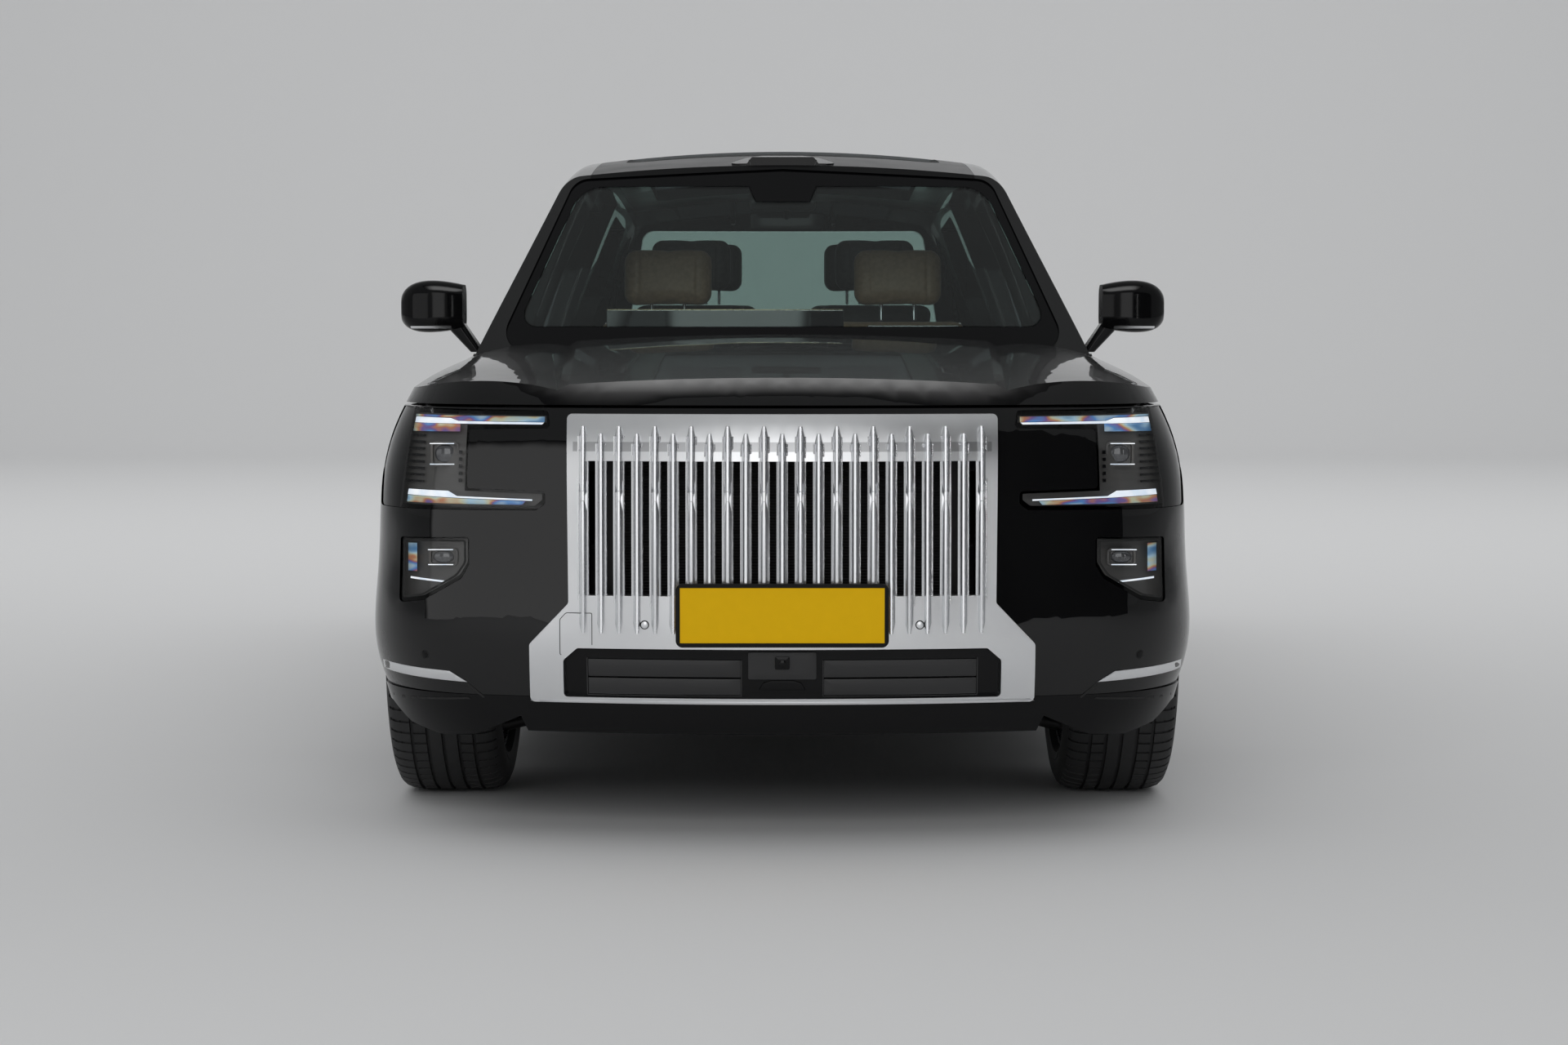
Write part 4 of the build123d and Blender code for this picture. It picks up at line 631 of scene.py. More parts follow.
class SlatPlane:
    """The front of the lower grille's slats, joined across its openings."""

    @staticmethod
    def ray_cast(at, way):
        y0, y1 = (intake_skin.ray_cast(Vector((at.x, at.y, z)), way)[0].y for z in SLAT_LINES)
        share = (at.z - SLAT_LINES[0]) / (SLAT_LINES[1] - SLAT_LINES[0])
        return [Vector((at.x, y0 + (y1 - y0) * share, at.z))]


slat_finish = Finish("slat_plastic", (0.020, 0.020, 0.021), 0.38)
slat_finish.set(
    Normal=slat_finish.bump(slat_finish.cells(1100.0), 0.00008, 0.3),
    Roughness=0.32 + 0.14 * slat_finish.noise(8.0),
)
slats = [
    pressed(SlatPlane, oblong(0.0965, low, 0.452, high), 0.0, 0.0030, corner=0.002, edge=0.0012)
    for low, high in ((0.3600, 0.3985), (0.4020, 0.4430))
]
make_pair("intake_slats", slats, slat_finish)
slat_rims = [
    pressed(
        intake_skin, oblong(way * 0.0935, 0.3555, way * 0.456, 0.446), 0.0004, 0.0016,
        corner=0.003, ring=0.0025, edge=0.0004,
    )
    for way in (-1, 1)
]
make_piece("intake_rims", slat_rims, moulded)

# -------- lower lip
# A gloss-black moulding under the nose, with a thin bright strip along its top edge below the lower intake.
# The strip is clipped to the lip, the grille's foot and the bumper from outside.
lip_skin = skin_of("front_bumper", "grille", "front_lip")
FOOT_STRIP = [(-0.592, 0.3385), (0.592, 0.3385), (0.585, 0.3445), (-0.585, 0.3445)]
make_piece("lip_bright_strip", pressed(lip_skin, FOOT_STRIP, 0.0, 0.0022), chrome)

# -------- front plate
# A blank plate of sheet metal on the nose, in a slightly uneven yellow film with a narrow black rim. It
# carries no lettering.
PLATE_MIDDLE_Z, PLATE_RIM = 0.5515, 0.0105
plate_low, plate_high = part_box("front_plate")
yellow = Finish("yellow_plate_film", (0.60, 0.355, 0.0), 0.42, Specular_IOR_Level=0.1)
plate_x, _, plate_z = yellow.axes()
reach_x = abs(plate_x) - ((plate_high.x - plate_low.x) / 2 - PLATE_RIM)
reach_z = abs(plate_z - PLATE_MIDDLE_Z) - ((plate_high.z - plate_low.z) / 2 - PLATE_RIM)
film = yellow.noise(34.0, 3.0)
sheet_color = yellow.blend(film, (0.86, 0.505, 0.0), (0.92, 0.540, 0.001))
in_rim = yellow.step(reach_x.most(reach_z), 0.0, 0.0012)
yellow.set(
    Base_Color=yellow.blend(in_rim, sheet_color, (0.010, 0.010, 0.010)),
    Roughness=0.34 + 0.1 * film,
    Normal=yellow.bump(yellow.cells(1500.0), 0.00003, 0.2),
)
dress(yellow, "front_plate")


# -------- headlamps and lower lamps
# Clear moulded covers over black housings. Two white light blades run along each headlamp, the lower one to a
# slanted tip, and a square-framed projector sits between them. The lower lamps hold one more of each.
class Pane(Finish):
    """Clear glass: it lets light through by its tint, and mirrors more of it the flatter it is seen."""

    def __init__(self, name, tint, glance=0.55):
        super().__init__(name, (1.0, 1.0, 1.0), 0.015, Metallic=1.0)
        through = self.node("BsdfTransparent", None, {"Color": (*tint, 1)})
        facing = self.node("LayerWeight", None, {"Blend": 0.5}, output=1)
        self.edge_on = 0.022 + glance * facing.math("POWER", facing, 4.0)
        mirrored = Signal(self.tree, self.shader.outputs[0])
        self.mixed = self.node("MixShader", None, {0: self.edge_on, 1: through, 2: mirrored})
        put(self.mixed, self.tree.nodes["Material Output"].inputs["Surface"])

    def close(self, share):
        """Lets no light through where a share is 1."""
        put(self.edge_on.most(share), self.mixed.socket.node.inputs[0])


WING_X, WING_FOOT_Z, WING_LEAN, WING_GAP, UPPER_LAMP_Z = 0.912, 0.790, 0.12, 0.006, 0.745
lens = Pane("lamp_cover", (0.93, 0.94, 0.95))
lens_x, _, lens_z = lens.axes()
past_wing = abs(lens_x) + (lens_z - WING_FOOT_Z) * WING_LEAN - WING_X
wing = (past_wing > -WING_GAP) * (lens_z > UPPER_LAMP_Z)
lens.set(
    Roughness=0.012 + 0.02 * lens.noise(20.0) + 0.5 * (wing * (past_wing < 0.0)),
    Metallic=1.0 - wing,
    Base_Color=lens.blend(wing, (1.0, 1.0, 1.0), (0.003, 0.003, 0.0034)),
)
lens.close(wing)
dress(lens, "headlamps", "lower_lamps")

blade_light = Finish("light_blade", (0.82, 0.86, 0.90), 0.18, Emission_Strength=0.62)
glow = blade_light.step(blade_light.noise(26.0, 2.0), 0.3, 0.7)
blade_light.set(
    Emission_Color=blade_light.blend(glow, (0.68, 0.76, 0.86), (0.92, 0.94, 0.96)),
    Base_Color=blade_light.blend(glow, (0.62, 0.70, 0.80), (0.86, 0.88, 0.90)),
)
housing = Finish("lamp_housing", (0.040, 0.038, 0.037), 0.34)
housing.set(
    Normal=housing.bump((housing.axes()[2] * 320.0).sine(), 0.0005, 0.25),
    Base_Color=housing.blend(housing.noise(9.0), (0.045, 0.044, 0.043), (0.115, 0.108, 0.100)),
)
bright_trim = Finish("lamp_reflector", (0.55, 0.57, 0.60), 0.12, Metallic=1.0)
bright_trim.set(Roughness=0.08 + 0.1 * bright_trim.noise(40.0))
glass_bead = Finish("projector_lens", (0.03, 0.035, 0.045), 0.03, Coat_Weight=1.0, Coat_Roughness=0.01)
cloudy = glass_bead.noise(30.0)
glass_bead.set(Base_Color=glass_bead.blend(cloudy, (0.022, 0.022, 0.024), (0.12, 0.12, 0.125)))
HUES = (
    (0.00, (0.06, 0.20, 0.42)), (0.22, (0.42, 0.62, 0.74)), (0.40, (0.62, 0.60, 0.40)),
    (0.55, (0.55, 0.22, 0.10)), (0.68, (0.20, 0.12, 0.34)), (0.82, (0.10, 0.28, 0.60)),
    (1.00, (0.50, 0.62, 0.66)),
)
strained = Finish("strained_clear_plastic", (0.30, 0.32, 0.36), 0.16, Emission_Strength=0.15)
strain = strained.step(strained.noise(9.0, 2.0, strained.place((1.0, 0.3, 2.2))), 0.28, 0.72)
hues = strained.node("ValToRGB", {"stops": HUES}, {"Fac": strain})
strained.set(Base_Color=hues, Emission_Color=hues)

lamp_skin = skin_of("headlamps")
low_skin = skin_of("lower_lamps")
BLADE_DEPTH, REFLECTOR_DEPTH = -0.012, -0.019
trays = [
    pressed(
        lamp_skin, [
            (0.554, 1.006), (0.936, 1.010), (0.962, 0.900), (0.962, 0.793), (0.580, 0.796),
            (0.562, 0.810), (0.562, 0.824), (0.748, 0.829), (0.744, 0.984), (0.552, 0.990),
        ], -0.030, 0.002, edge=0,
    ),
    pressed(
        low_skin,
        [(0.742, 0.716), (0.902, 0.710), (0.904, 0.568), (0.851, 0.578), (0.761, 0.630), (0.742, 0.661)],
        -0.034, 0.002, edge=0,
    ),
]
make_pair("lamp_trays", trays, housing)

UPPER_BLADE = [
    (0.557, 0.9905), (0.765, 0.9925), (0.785, 0.9990), (0.878, 1.0000), (0.880, 0.9865), (0.765, 0.9865),
    (0.562, 0.9860),
]
LOWER_BLADE = [
    (0.584, 0.8120), (0.765, 0.8170), (0.787, 0.8290), (0.889, 0.8300), (0.892, 0.8170), (0.775, 0.8135),
    (0.584, 0.8085),
]
LOW_LAMP_BLADE = [(0.792, 0.6168), (0.884, 0.6225), (0.884, 0.6180), (0.792, 0.6130)]
blades = [pressed(lamp_skin, line, BLADE_DEPTH, 0.005) for line in (UPPER_BLADE, LOWER_BLADE)]
blades.append(pressed(low_skin, LOW_LAMP_BLADE, BLADE_DEPTH, 0.004))
make_pair("light_blades", blades, blade_light)

guides = [
    pressed(skin, line, depth, 0.003)
    for skin, depth, line in (
        (lamp_skin, -0.015, [
            (0.556, 1.004), (0.880, 1.006), (0.880, 1.001), (0.785, 1.000), (0.765, 0.9935), (0.556, 0.9915),
        ]),
        (lamp_skin, -0.016, [(0.760, 0.9855), (0.882, 0.9855), (0.884, 0.9660), (0.760, 0.9680)]),
        (lamp_skin, -0.016, [
            (0.600, 0.8070), (0.775, 0.8120), (0.892, 0.8155), (0.895, 0.7990), (0.608, 0.7985),
        ]),
        (low_skin, -0.020, [(0.868, 0.7020), (0.892, 0.7010), (0.892, 0.6350), (0.868, 0.6350)]),
    )
]
make_pair("light_guides", guides, strained)

bezels = [
    pressed(lamp_skin, line, REFLECTOR_DEPTH, 0.002, ring=0.003)
    for line in (
        [(0.554, 1.0045), (0.884, 1.0065), (0.886, 0.962), (0.752, 0.9635), (0.752, 0.985), (0.560, 0.9845)],
        [(0.582, 0.815), (0.762, 0.8195), (0.785, 0.832), (0.893, 0.833), (0.897, 0.7965), (0.600, 0.796)],
    )
]
make_pair("blade_reflectors", bezels, bright_trim)
GASKET = [(0.742, 0.716), (0.902, 0.712), (0.904, 0.570), (0.851, 0.580), (0.764, 0.630), (0.742, 0.661)]
gasket = pressed(low_skin, GASKET, -0.002, 0.0024, corner=0.008, ring=0.005, edge=0.0004)
make_pair("lamp_gaskets", [gasket], shadow_joint)


def block(size, edge=0.0, segments=3):
    """A box about the origin, with soft edges if they are given a size."""
    box = bmesh.new()
    bmesh.ops.create_cube(box, size=1)
    bmesh.ops.scale(box, verts=box.verts, vec=size)
    if edge:
        soften(box, box.edges[:], edge, segments)
    return box


def projector(skin, x, z, half_x, half_z):
    """A dark square-framed projector with a round bead and a bright line above and below: its three parts."""
    y = spot_on(skin, x, z)[0].y + 0.014
    shell = block((half_x * 2, 0.024, half_z * 2))
    soften(shell, [e for e in shell.edges if abs(e.verts[0].co.y - e.verts[1].co.y) > 0.01], 0.011, 4)
    face = [f for f in shell.faces if f.normal.y < -0.9]
    bmesh.ops.inset_region(shell, faces=face, thickness=0.005, use_even_offset=True)
    bmesh.ops.inset_region(shell, faces=face, thickness=0.002, depth=-0.008, use_even_offset=True)
    bead = bmesh.new()
    bmesh.ops.create_uvsphere(bead, u_segments=24, v_segments=12, radius=0.5)
    bmesh.ops.scale(bead, verts=bead.verts, vec=(half_x * 1.5, 0.014, half_z * 1.5))
    lines = []
    for way in (-1, 1):
        line = block((half_x * 1.75, 0.003, 0.0022), 0.0005, 1)
        lines.append(moved(line, (x + 0.006, y - 0.002, z + way * half_z * 0.84)))
    return moved(shell, (x, y + 0.012, z)), moved(bead, (x, y + 0.009, z)), gather(lines)


PROJECTORS = ((lamp_skin, 0.797, 0.915, 0.033, 0.029), (low_skin, 0.800, 0.672, 0.034, 0.021))
frames, beads, edge_lines = (list(parts) for parts in zip(*(projector(*each) for each in PROJECTORS)))
make_pair("projector_frames", frames, housing)
make_pair("projector_lines", edge_lines, blade_light)
make_pair("projector_beads", beads, glass_bead)

combs = []
for i in range(9):
    z = 0.846 + 0.0155 * i
    comb = [(0.850, z), (0.950, z + 0.001), (0.950, z + 0.006), (0.850, z + 0.005)]
    combs.append(pressed(lamp_skin, comb, -0.026, 0.006))
for i in range(5):
    z = 0.8495 + 0.0165 * i
    combs.append(pressed(lamp_skin, oblong(0.754, z, 0.762, z + 0.008), -0.022, 0.006))
make_pair("lamp_combs", combs, piano)

# -------- nose trim
# Plated corner blades and dark strips of painted shade along the creases at the foot of each side of the
# bumper, and two round black parking sensors, each in a fine joint. All are clipped to the bumper skin.
nose_skin = skin_of("front_bumper")
CORNER_BLADE = [
    (0.742, 0.379), (0.785, 0.4045), (0.950, 0.4115), (0.968, 0.411), (0.968, 0.389), (0.950, 0.388)
]
make_pair("corner_blades", [pressed(nose_skin, CORNER_BLADE, 0.0, 0.0030, edge=0.001)], chrome)
# Painted shade: thin dark strips laid along the bumper's creases stand for the shade that falls in them.
creases = [
    pressed(lip_skin, line, 0.0002, 0.0008, edge=0)
    for line in (
        [(0.740, 0.3770), (0.700, 0.3430), (0.706, 0.3415), (0.744, 0.3735)],
        [(0.742, 0.3420), (0.945, 0.3275), (0.945, 0.3220), (0.735, 0.3375)],
    )
]
make_pair("bumper_crease_shade", creases, shadow_joint)
at, out = spot_on(nose_skin, 0.846, 0.441)
make_pair("bumper_sensors", [disc(at, out, 0.0090, 0.004, 0.0008)], piano)
groove = disc(at - out * 0.0008, out, 0.0115, 0.003, 0.0004)
make_pair("bumper_sensor_joints", [groove], shadow_joint)

# -------- windscreen
# Laminated glass with a faint green body tint. A printed black border hides its bonded edge, and widens
# behind the mirror, where a black cover hides the cameras.
CLEAR_MIDDLE_Z, CLEAR_HALF_Z, CLEAR_HALF_X, CLEAR_LEAN, CLEAR_CORNER = 1.432, 0.214, 0.768, 0.352, 0.060
PATCH_HALF_X, PATCH_HEAD_Z, PATCH_FOOT_Z, PATCH_LEAN = 0.082, 1.600, 1.598, 0.42
screen = Pane("windscreen_glass", (0.86, 0.915, 0.905))
screen_x, _, screen_z = screen.axes()
leaning = (screen_z - (CLEAR_MIDDLE_Z - CLEAR_HALF_Z)) * CLEAR_LEAN
side_reach = abs(screen_x) + leaning - (CLEAR_HALF_X - CLEAR_CORNER)
end_reach = abs(screen_z - CLEAR_MIDDLE_Z) - (CLEAR_HALF_Z - CLEAR_CORNER)
corner_x, corner_z = side_reach.most(0.0), end_reach.most(0.0)
squared = corner_x * corner_x + corner_z * corner_z
edge_distance = squared.math("SQRT", squared) - CLEAR_CORNER
patch = (abs(screen_x) - PATCH_HALF_X - (screen_z - PATCH_HEAD_Z) * PATCH_LEAN).most(PATCH_FOOT_Z - screen_z)
border = screen.step(edge_distance, -0.001, 0.003).most(screen.step(patch, 0.004, -0.001))
inked = border > 0.001
screen.set(
    Metallic=1.0 - inked,
    Base_Color=screen.blend(inked, (1.0, 1.0, 1.0), (0.0035, 0.0035, 0.004)),
    Specular_IOR_Level=0.12,
    Roughness=0.012 + 0.02 * screen.noise(7.0, 4.0),
)
screen.close(border)
dress(screen, "windscreen")

# -------- side and roof glass
# Toughened side glass, tinted beside the front seats and smoked behind them, a smoked roof pane and a faintly
# green tailgate pane. Each is bonded into its opening.
tailgate_tint = Pane("tailgate_glass_tint", (0.55, 0.64, 0.615))
side_clear = Pane("front_door_glass", (0.17, 0.195, 0.195), glance=0.10)
smoked = Pane("smoked_glass", (0.24, 0.26, 0.265), glance=0.10)
for pane in (tailgate_tint, side_clear, smoked):
    pane.set(Roughness=0.012 + 0.025 * pane.noise(6.0, 4.0))
dress(side_clear, "door_glass_front_left", "door_glass_front_right")
dress(smoked, "door_glass_rear_left", "door_glass_rear_right", "quarter_windows", "roof_glass")
dress(tailgate_tint, "tailgate_glass")

# -------- roof sensor
# A gloss-black hump over the windscreen that holds a forward-looking sensor. A thin moulded rim frames the
# sensor's window in its front.
sensor_low, sensor_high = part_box("roof_sensor")
window_z = (sensor_low.z + sensor_high.z) / 2
head_z, foot_z = window_z + 0.017, window_z - 0.016
WINDOW = [(-0.100, foot_z), (0.100, foot_z), (0.108, head_z), (-0.108, head_z)]
window_rim = pressed(skin_of("roof_sensor"), WINDOW, -0.0005, 0.0014, corner=0.004, ring=0.004, edge=0.0003)
make_piece("sensor_window_rim", window_rim, moulded)

# -------- side trim
# Bright anodised strips along the belt of each door, flush handles in a shallow dark joint, and a bright line
# low on the doors. Each strip rides on its own door.
anodised = Finish("anodised_strip", (0.62, 0.63, 0.65), 0.2, Metallic=1.0)
brushed = anodised.noise(60.0, 3.0, anodised.place((1, 0.03, 1)))
anodised.set(Roughness=0.16 + 0.16 * brushed, Normal=anodised.bump(brushed, 0.00004, 0.4))

DOOR_SPANS = {"front": (-1.000, 0.084), "rear": (0.097, 1.200)}
BELT_SPANS = {"front": (-0.725, 0.035), "rear": (0.166, 1.150)}
BELT_Z, BELT_TOP_Z, LOW_Z, LOW_TOP_Z = 1.150, 1.163, 0.440, 0.450
HANDLE_LENGTH, HANDLE_Z, HANDLE_TOP_Z, HANDLE_JOINT = 0.215, 0.952, 0.981, 0.004
for end, side in CORNERS:
    door = f"door_{end}_{side}"
    door_skin = skin_of(door, f"door_glass_{end}_{side}")
    y0, y1 = BELT_SPANS[end]
    belt_line = [(y0, BELT_Z), (y1, BELT_Z), (y1, BELT_TOP_Z), (y0 + 0.012, BELT_TOP_Z)]
    belt = pressed(door_skin, belt_line, 0.0, 0.0035, side, grid=0.05, edge=0.001)
    make_piece(f"belt_strip_{end}_{side}", belt, anodised, door)
    y0, y1 = DOOR_SPANS[end]
    low_end = y1 - 0.165 if end == "rear" else y1
    low_line = oblong(y0 + 0.02, LOW_Z, low_end - 0.01, LOW_TOP_Z)
    low_strip = pressed(door_skin, low_line, 0.0, 0.003, side, grid=0.05, edge=0.0008)
    make_piece(f"low_strip_{end}_{side}", low_strip, anodised, door)
    y1 -= 0.075
    y0 = y1 - HANDLE_LENGTH
    grip_line = oblong(y0, HANDLE_Z, y1, HANDLE_TOP_Z)
    grip = pressed(door_skin, grip_line, 0.0, 0.003, side, corner=0.007, edge=0.0012)
    make_piece(f"door_handle_{end}_{side}", grip, paint, door)
    foot, head = HANDLE_Z - HANDLE_JOINT, HANDLE_TOP_Z + HANDLE_JOINT
    joint_line = oblong(y0 - HANDLE_JOINT, foot, y1 + HANDLE_JOINT, head)
    joint = pressed(door_skin, joint_line, 0.0, 0.0006, side, corner=0.010, ring=0.0035, edge=0)
    make_piece(f"handle_joint_{end}_{side}", joint, shadow_joint, door)

# -------- door mirrors
# A domed black housing on a foot at each front door. A bright strip divides the housing from its lower shell,
# and the silvered glass faces back.
mirror_glass = Finish("silvered_glass", (0.86, 0.88, 0.90), 0.02, Metallic=1.0)
mirror_glass.set(Roughness=0.01 + 0.02 * mirror_glass.noise(12.0))
dress(piano, "mirror_left", "mirror_right")
for side, way in (("left", 1), ("right", -1)):
    low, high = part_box(f"mirror_{side}")
    shell = skin_of(f"mirror_{side}")
    inner, outer = (low.x, high.x)[::way]
    span = outer - inner
    strip_z = low.z + (high.z - low.z) * 0.33
    strip_line = oblong(inner + span * 0.36, strip_z, inner + span * 0.975, strip_z + 0.007)
    strip = pressed(shell, strip_line[::way], 0.0002, 0.0018, grid=0.012)
    make_piece(f"mirror_strip_{side}", strip, chrome, f"door_front_{side}")
    glass_line = oblong(inner + span * 0.42, strip_z + 0.022, inner + span * 0.95, high.z - 0.022)
    glass = pressed(shell, glass_line[::way], 0.0, 0.0025, "back", corner=0.016)
    make_piece(f"mirror_glass_{side}", glass, mirror_glass, f"door_front_{side}")

# -------- tail lamps and tailgate trim
# Deep red covers with a row of bright elements, along a full-width bar over a bright line. Below them are a
# blank rear plate on a black panel, and above them a wiper at the foot of the tailgate glass.
red_cover = Finish("red_lamp_cover", (0.28, 0.006, 0.008), 0.08, Coat_Weight=1.0, Coat_Roughness=0.02)
elements = red_cover.step((red_cover.axes()[0] * 260.0).sine(), -0.2, 0.6)
red_cover.set(
    Base_Color=red_cover.blend(elements, (0.10, 0.002, 0.004), (0.46, 0.012, 0.014)),
    Emission_Color=red_cover.blend(elements, (0.01, 0.0, 0.0), (0.5, 0.01, 0.01)),
    Emission_Strength=0.12,
    Normal=red_cover.bump(elements, 0.0006, 0.4),
)
dress(red_cover, "tail_lamps", "tail_light_bar")
blank = Finish("blank_plate_film", (0.62, 0.63, 0.64), 0.4)
blank.set(
    Base_Color=blank.blend(blank.noise(20.0), (0.58, 0.59, 0.60), (0.66, 0.67, 0.68)),
    Normal=blank.bump(blank.cells(1500.0), 0.00003, 0.2),
)
rubber = Finish("seal_rubber", (0.012, 0.012, 0.012), 0.7)
rubber.set(Normal=rubber.bump(rubber.noise(400.0), 0.0001, 0.4), Roughness=0.6 + 0.2 * rubber.noise(15.0))

gate_skin = skin_of("tailgate", "tailgate_glass", "tail_light_bar")


def on_gate(name, outline, lift, thick, finish, slot, **cut):
    sheet = pressed(gate_skin, outline, lift, thick, "back", grid=0.05, **cut)
    make_piece(name, sheet, finish, "tailgate")


RECESS = [(-0.330, 0.705), (0.330, 0.705), (0.315, 0.915), (-0.315, 0.915)]
on_gate("plate_panel", RECESS, 0.0, 0.0015, piano, "gloss_black", corner=0.02)
PLATE, FRAME = oblong(-0.220, 0.738, 0.220, 0.878), oblong(-0.226, 0.732, 0.226, 0.884)
on_gate("rear_plate_blank", PLATE, 0.001, 0.004, blank, "plate_yellow", corner=0.010)
on_gate("rear_plate_frame", FRAME, 0.001, 0.0055, moulded, "matte_black", corner=0.012, ring=0.006)
on_gate("gate_bright_line", oblong(-0.560, 0.9455, 0.560, 0.9520), 0.0, 0.002, chrome, "chrome")
WIPER, WIPER_HUB_Z = [(-0.018, 1.205), (0.360, 1.206), (0.360, 1.214), (0.010, 1.224)], 1.212
wiper = pressed(gate_skin, WIPER, 0.001, 0.007, "back", grid=0.04, edge=0.001)
hub_at = spot_on(gate_skin, 0, WIPER_HUB_Z, "back")[0] + Vector((0, 0.005, 0))
hub = disc(hub_at, (0, 1, 0), 0.022, 0.016, 0.003)
make_piece("tailgate_wiper", [wiper, hub], rubber, "tailgate")

# -------- tailgate seals
# Two strips of hollow rubber on the rear pillars, just inside the tailgate's edges, that shut out the light
# and the rain. They stay on the body, clipped to its flange, when the tailgate lifts.
GATE_EDGE_X, GATE_EDGE_Z, GATE_LEAN, GATE_MARGIN = 0.730, 1.200, 0.2675, 0.012
CABIN_REAR_Y = 1.75
SEAL_FOOT_Z, SEAL_HEAD_Z, SEAL_IN, SEAL_OUT = 1.240, 1.600, 0.018, 0.030
gate_panel = skin_of("tailgate")


def gate_edge(z):
    return GATE_EDGE_X - (z - GATE_EDGE_Z) * GATE_LEAN


class GateInside:
    """The tailgate's inner face, carried on past its edges."""

    @staticmethod
    def ray_cast(at, way):
        x = math.copysign(min(abs(at.x), gate_edge(at.z) - GATE_MARGIN), at.x)
        hit = gate_panel.ray_cast(Vector((x, CABIN_REAR_Y, at.z)), way)[0]
        return [hit and Vector((at.x, hit.y, at.z))]


foot_x, head_x = gate_edge(SEAL_FOOT_Z), gate_edge(SEAL_HEAD_Z)
seal_line = [
    (foot_x - SEAL_IN, SEAL_FOOT_Z), (foot_x + SEAL_OUT, SEAL_FOOT_Z),
    (head_x + SEAL_OUT, SEAL_HEAD_Z), (head_x - SEAL_IN, SEAL_HEAD_Z),
]
make_pair("tailgate_seals", [pressed(GateInside, seal_line, 0.008, 0.006, edge=0.002)], rubber)

# -------- rear bumper trim
# A moulded black lower apron with a bright strip, two slim red reflectors and four parking sensors, all
# clipped to the bumper skin.
rear_skin = skin_of("rear_bumper")
APRON = [(-0.840, 0.255), (0.840, 0.255), (0.900, 0.390), (0.620, 0.420), (-0.620, 0.420), (-0.900, 0.390)]
REAR_STRIP = [(-0.560, 0.300), (0.560, 0.300), (0.580, 0.312), (-0.580, 0.312)]
REFLECTOR = [(0.680, 0.445), (0.900, 0.452), (0.900, 0.472), (0.680, 0.465)]
make_piece("rear_apron", pressed(rear_skin, APRON, 0.0, 0.0012, "back", grid=0.05), moulded)
rear_strip = pressed(rear_skin, REAR_STRIP, 0.001, 0.003, "back", grid=0.05)
make_piece("rear_bright_strip", rear_strip, chrome)
reflector = pressed(rear_skin, REFLECTOR, 0.0, 0.0025, "back", corner=0.005)
make_pair("rear_reflectors", [reflector], red_cover)
rear_sensors = [disc(*spot_on(rear_skin, x, 0.545, "back"), 0.009, 0.003, 0.0008) for x in (0.30, 0.74)]
make_pair("rear_sensors", rear_sensors, piano)

# -------- tyres
# Low road tyres with five straight grooves. Narrow slots cross their shoulders, and a fine ridge rings each
# plain sidewall. Each is one moulding, turned here from one repeat of its tread.
TREADS = 72
SLOT_SHARE, SLOT_DEPTH, SLOT_FROM_X, SLOT_FROM_DEPTH = 0.22, 0.0035, 0.05, 0.024
OUTER_GROOVES = (-0.078, -0.039)
GROOVE_DEPTH, GROOVE_HALF, GROOVE_SLOPE = 0.0075, 0.0045, 0.0012
RIM_SEAT = 0.285
tyre_black = Finish("tyre_rubber", (0.018, 0.018, 0.0185), 0.62)
wear = tyre_black.noise(7.0, 4.0)
tyre_black.set(
    Base_Color=tyre_black.blend(wear, (0.011, 0.011, 0.0115), (0.026, 0.026, 0.027)),
    Roughness=0.52 + 0.2 * wear,
    Normal=tyre_black.bump(tyre_black.noise(320.0, 3.0), 0.0002, 0.4),
)
low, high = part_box("tyre_front_left")
TYRE_HALF, TYRE_RADIUS = (high.x - low.x) / 2, (high.z - low.z) / 2


def tread_section():
    """The tyre's outline from one bead to the other, as places across it and radii."""
    floor = TYRE_RADIUS - GROOVE_DEPTH
    half = [
        (0.022 - TYRE_HALF, RIM_SEAT), (0.006 - TYRE_HALF, RIM_SEAT + 0.012),
        (0.004 - TYRE_HALF, RIM_SEAT + 0.022), (0.001 - TYRE_HALF, RIM_SEAT + 0.030),
        (0.0022 - TYRE_HALF, RIM_SEAT + 0.033), (0.001 - TYRE_HALF, RIM_SEAT + 0.036),
        (-TYRE_HALF, RIM_SEAT + 0.052),
        (0.004 - TYRE_HALF, TYRE_RADIUS - 0.034), (0.0105 - TYRE_HALF, TYRE_RADIUS - 0.019),
        (0.020 - TYRE_HALF, TYRE_RADIUS - 0.010), (0.036 - TYRE_HALF, TYRE_RADIUS - 0.0042),
    ]
    for g in OUTER_GROOVES:
        half += [(g - GROOVE_HALF, TYRE_RADIUS - 0.0005), (g - GROOVE_HALF + GROOVE_SLOPE, floor)]
        half += [(g + GROOVE_HALF - GROOVE_SLOPE, floor), (g + GROOVE_HALF, TYRE_RADIUS)]
    half += [(-GROOVE_HALF, TYRE_RADIUS), (-GROOVE_HALF + GROOVE_SLOPE, floor)]
    return half + [(-x, r) for x, r in reversed(half)]


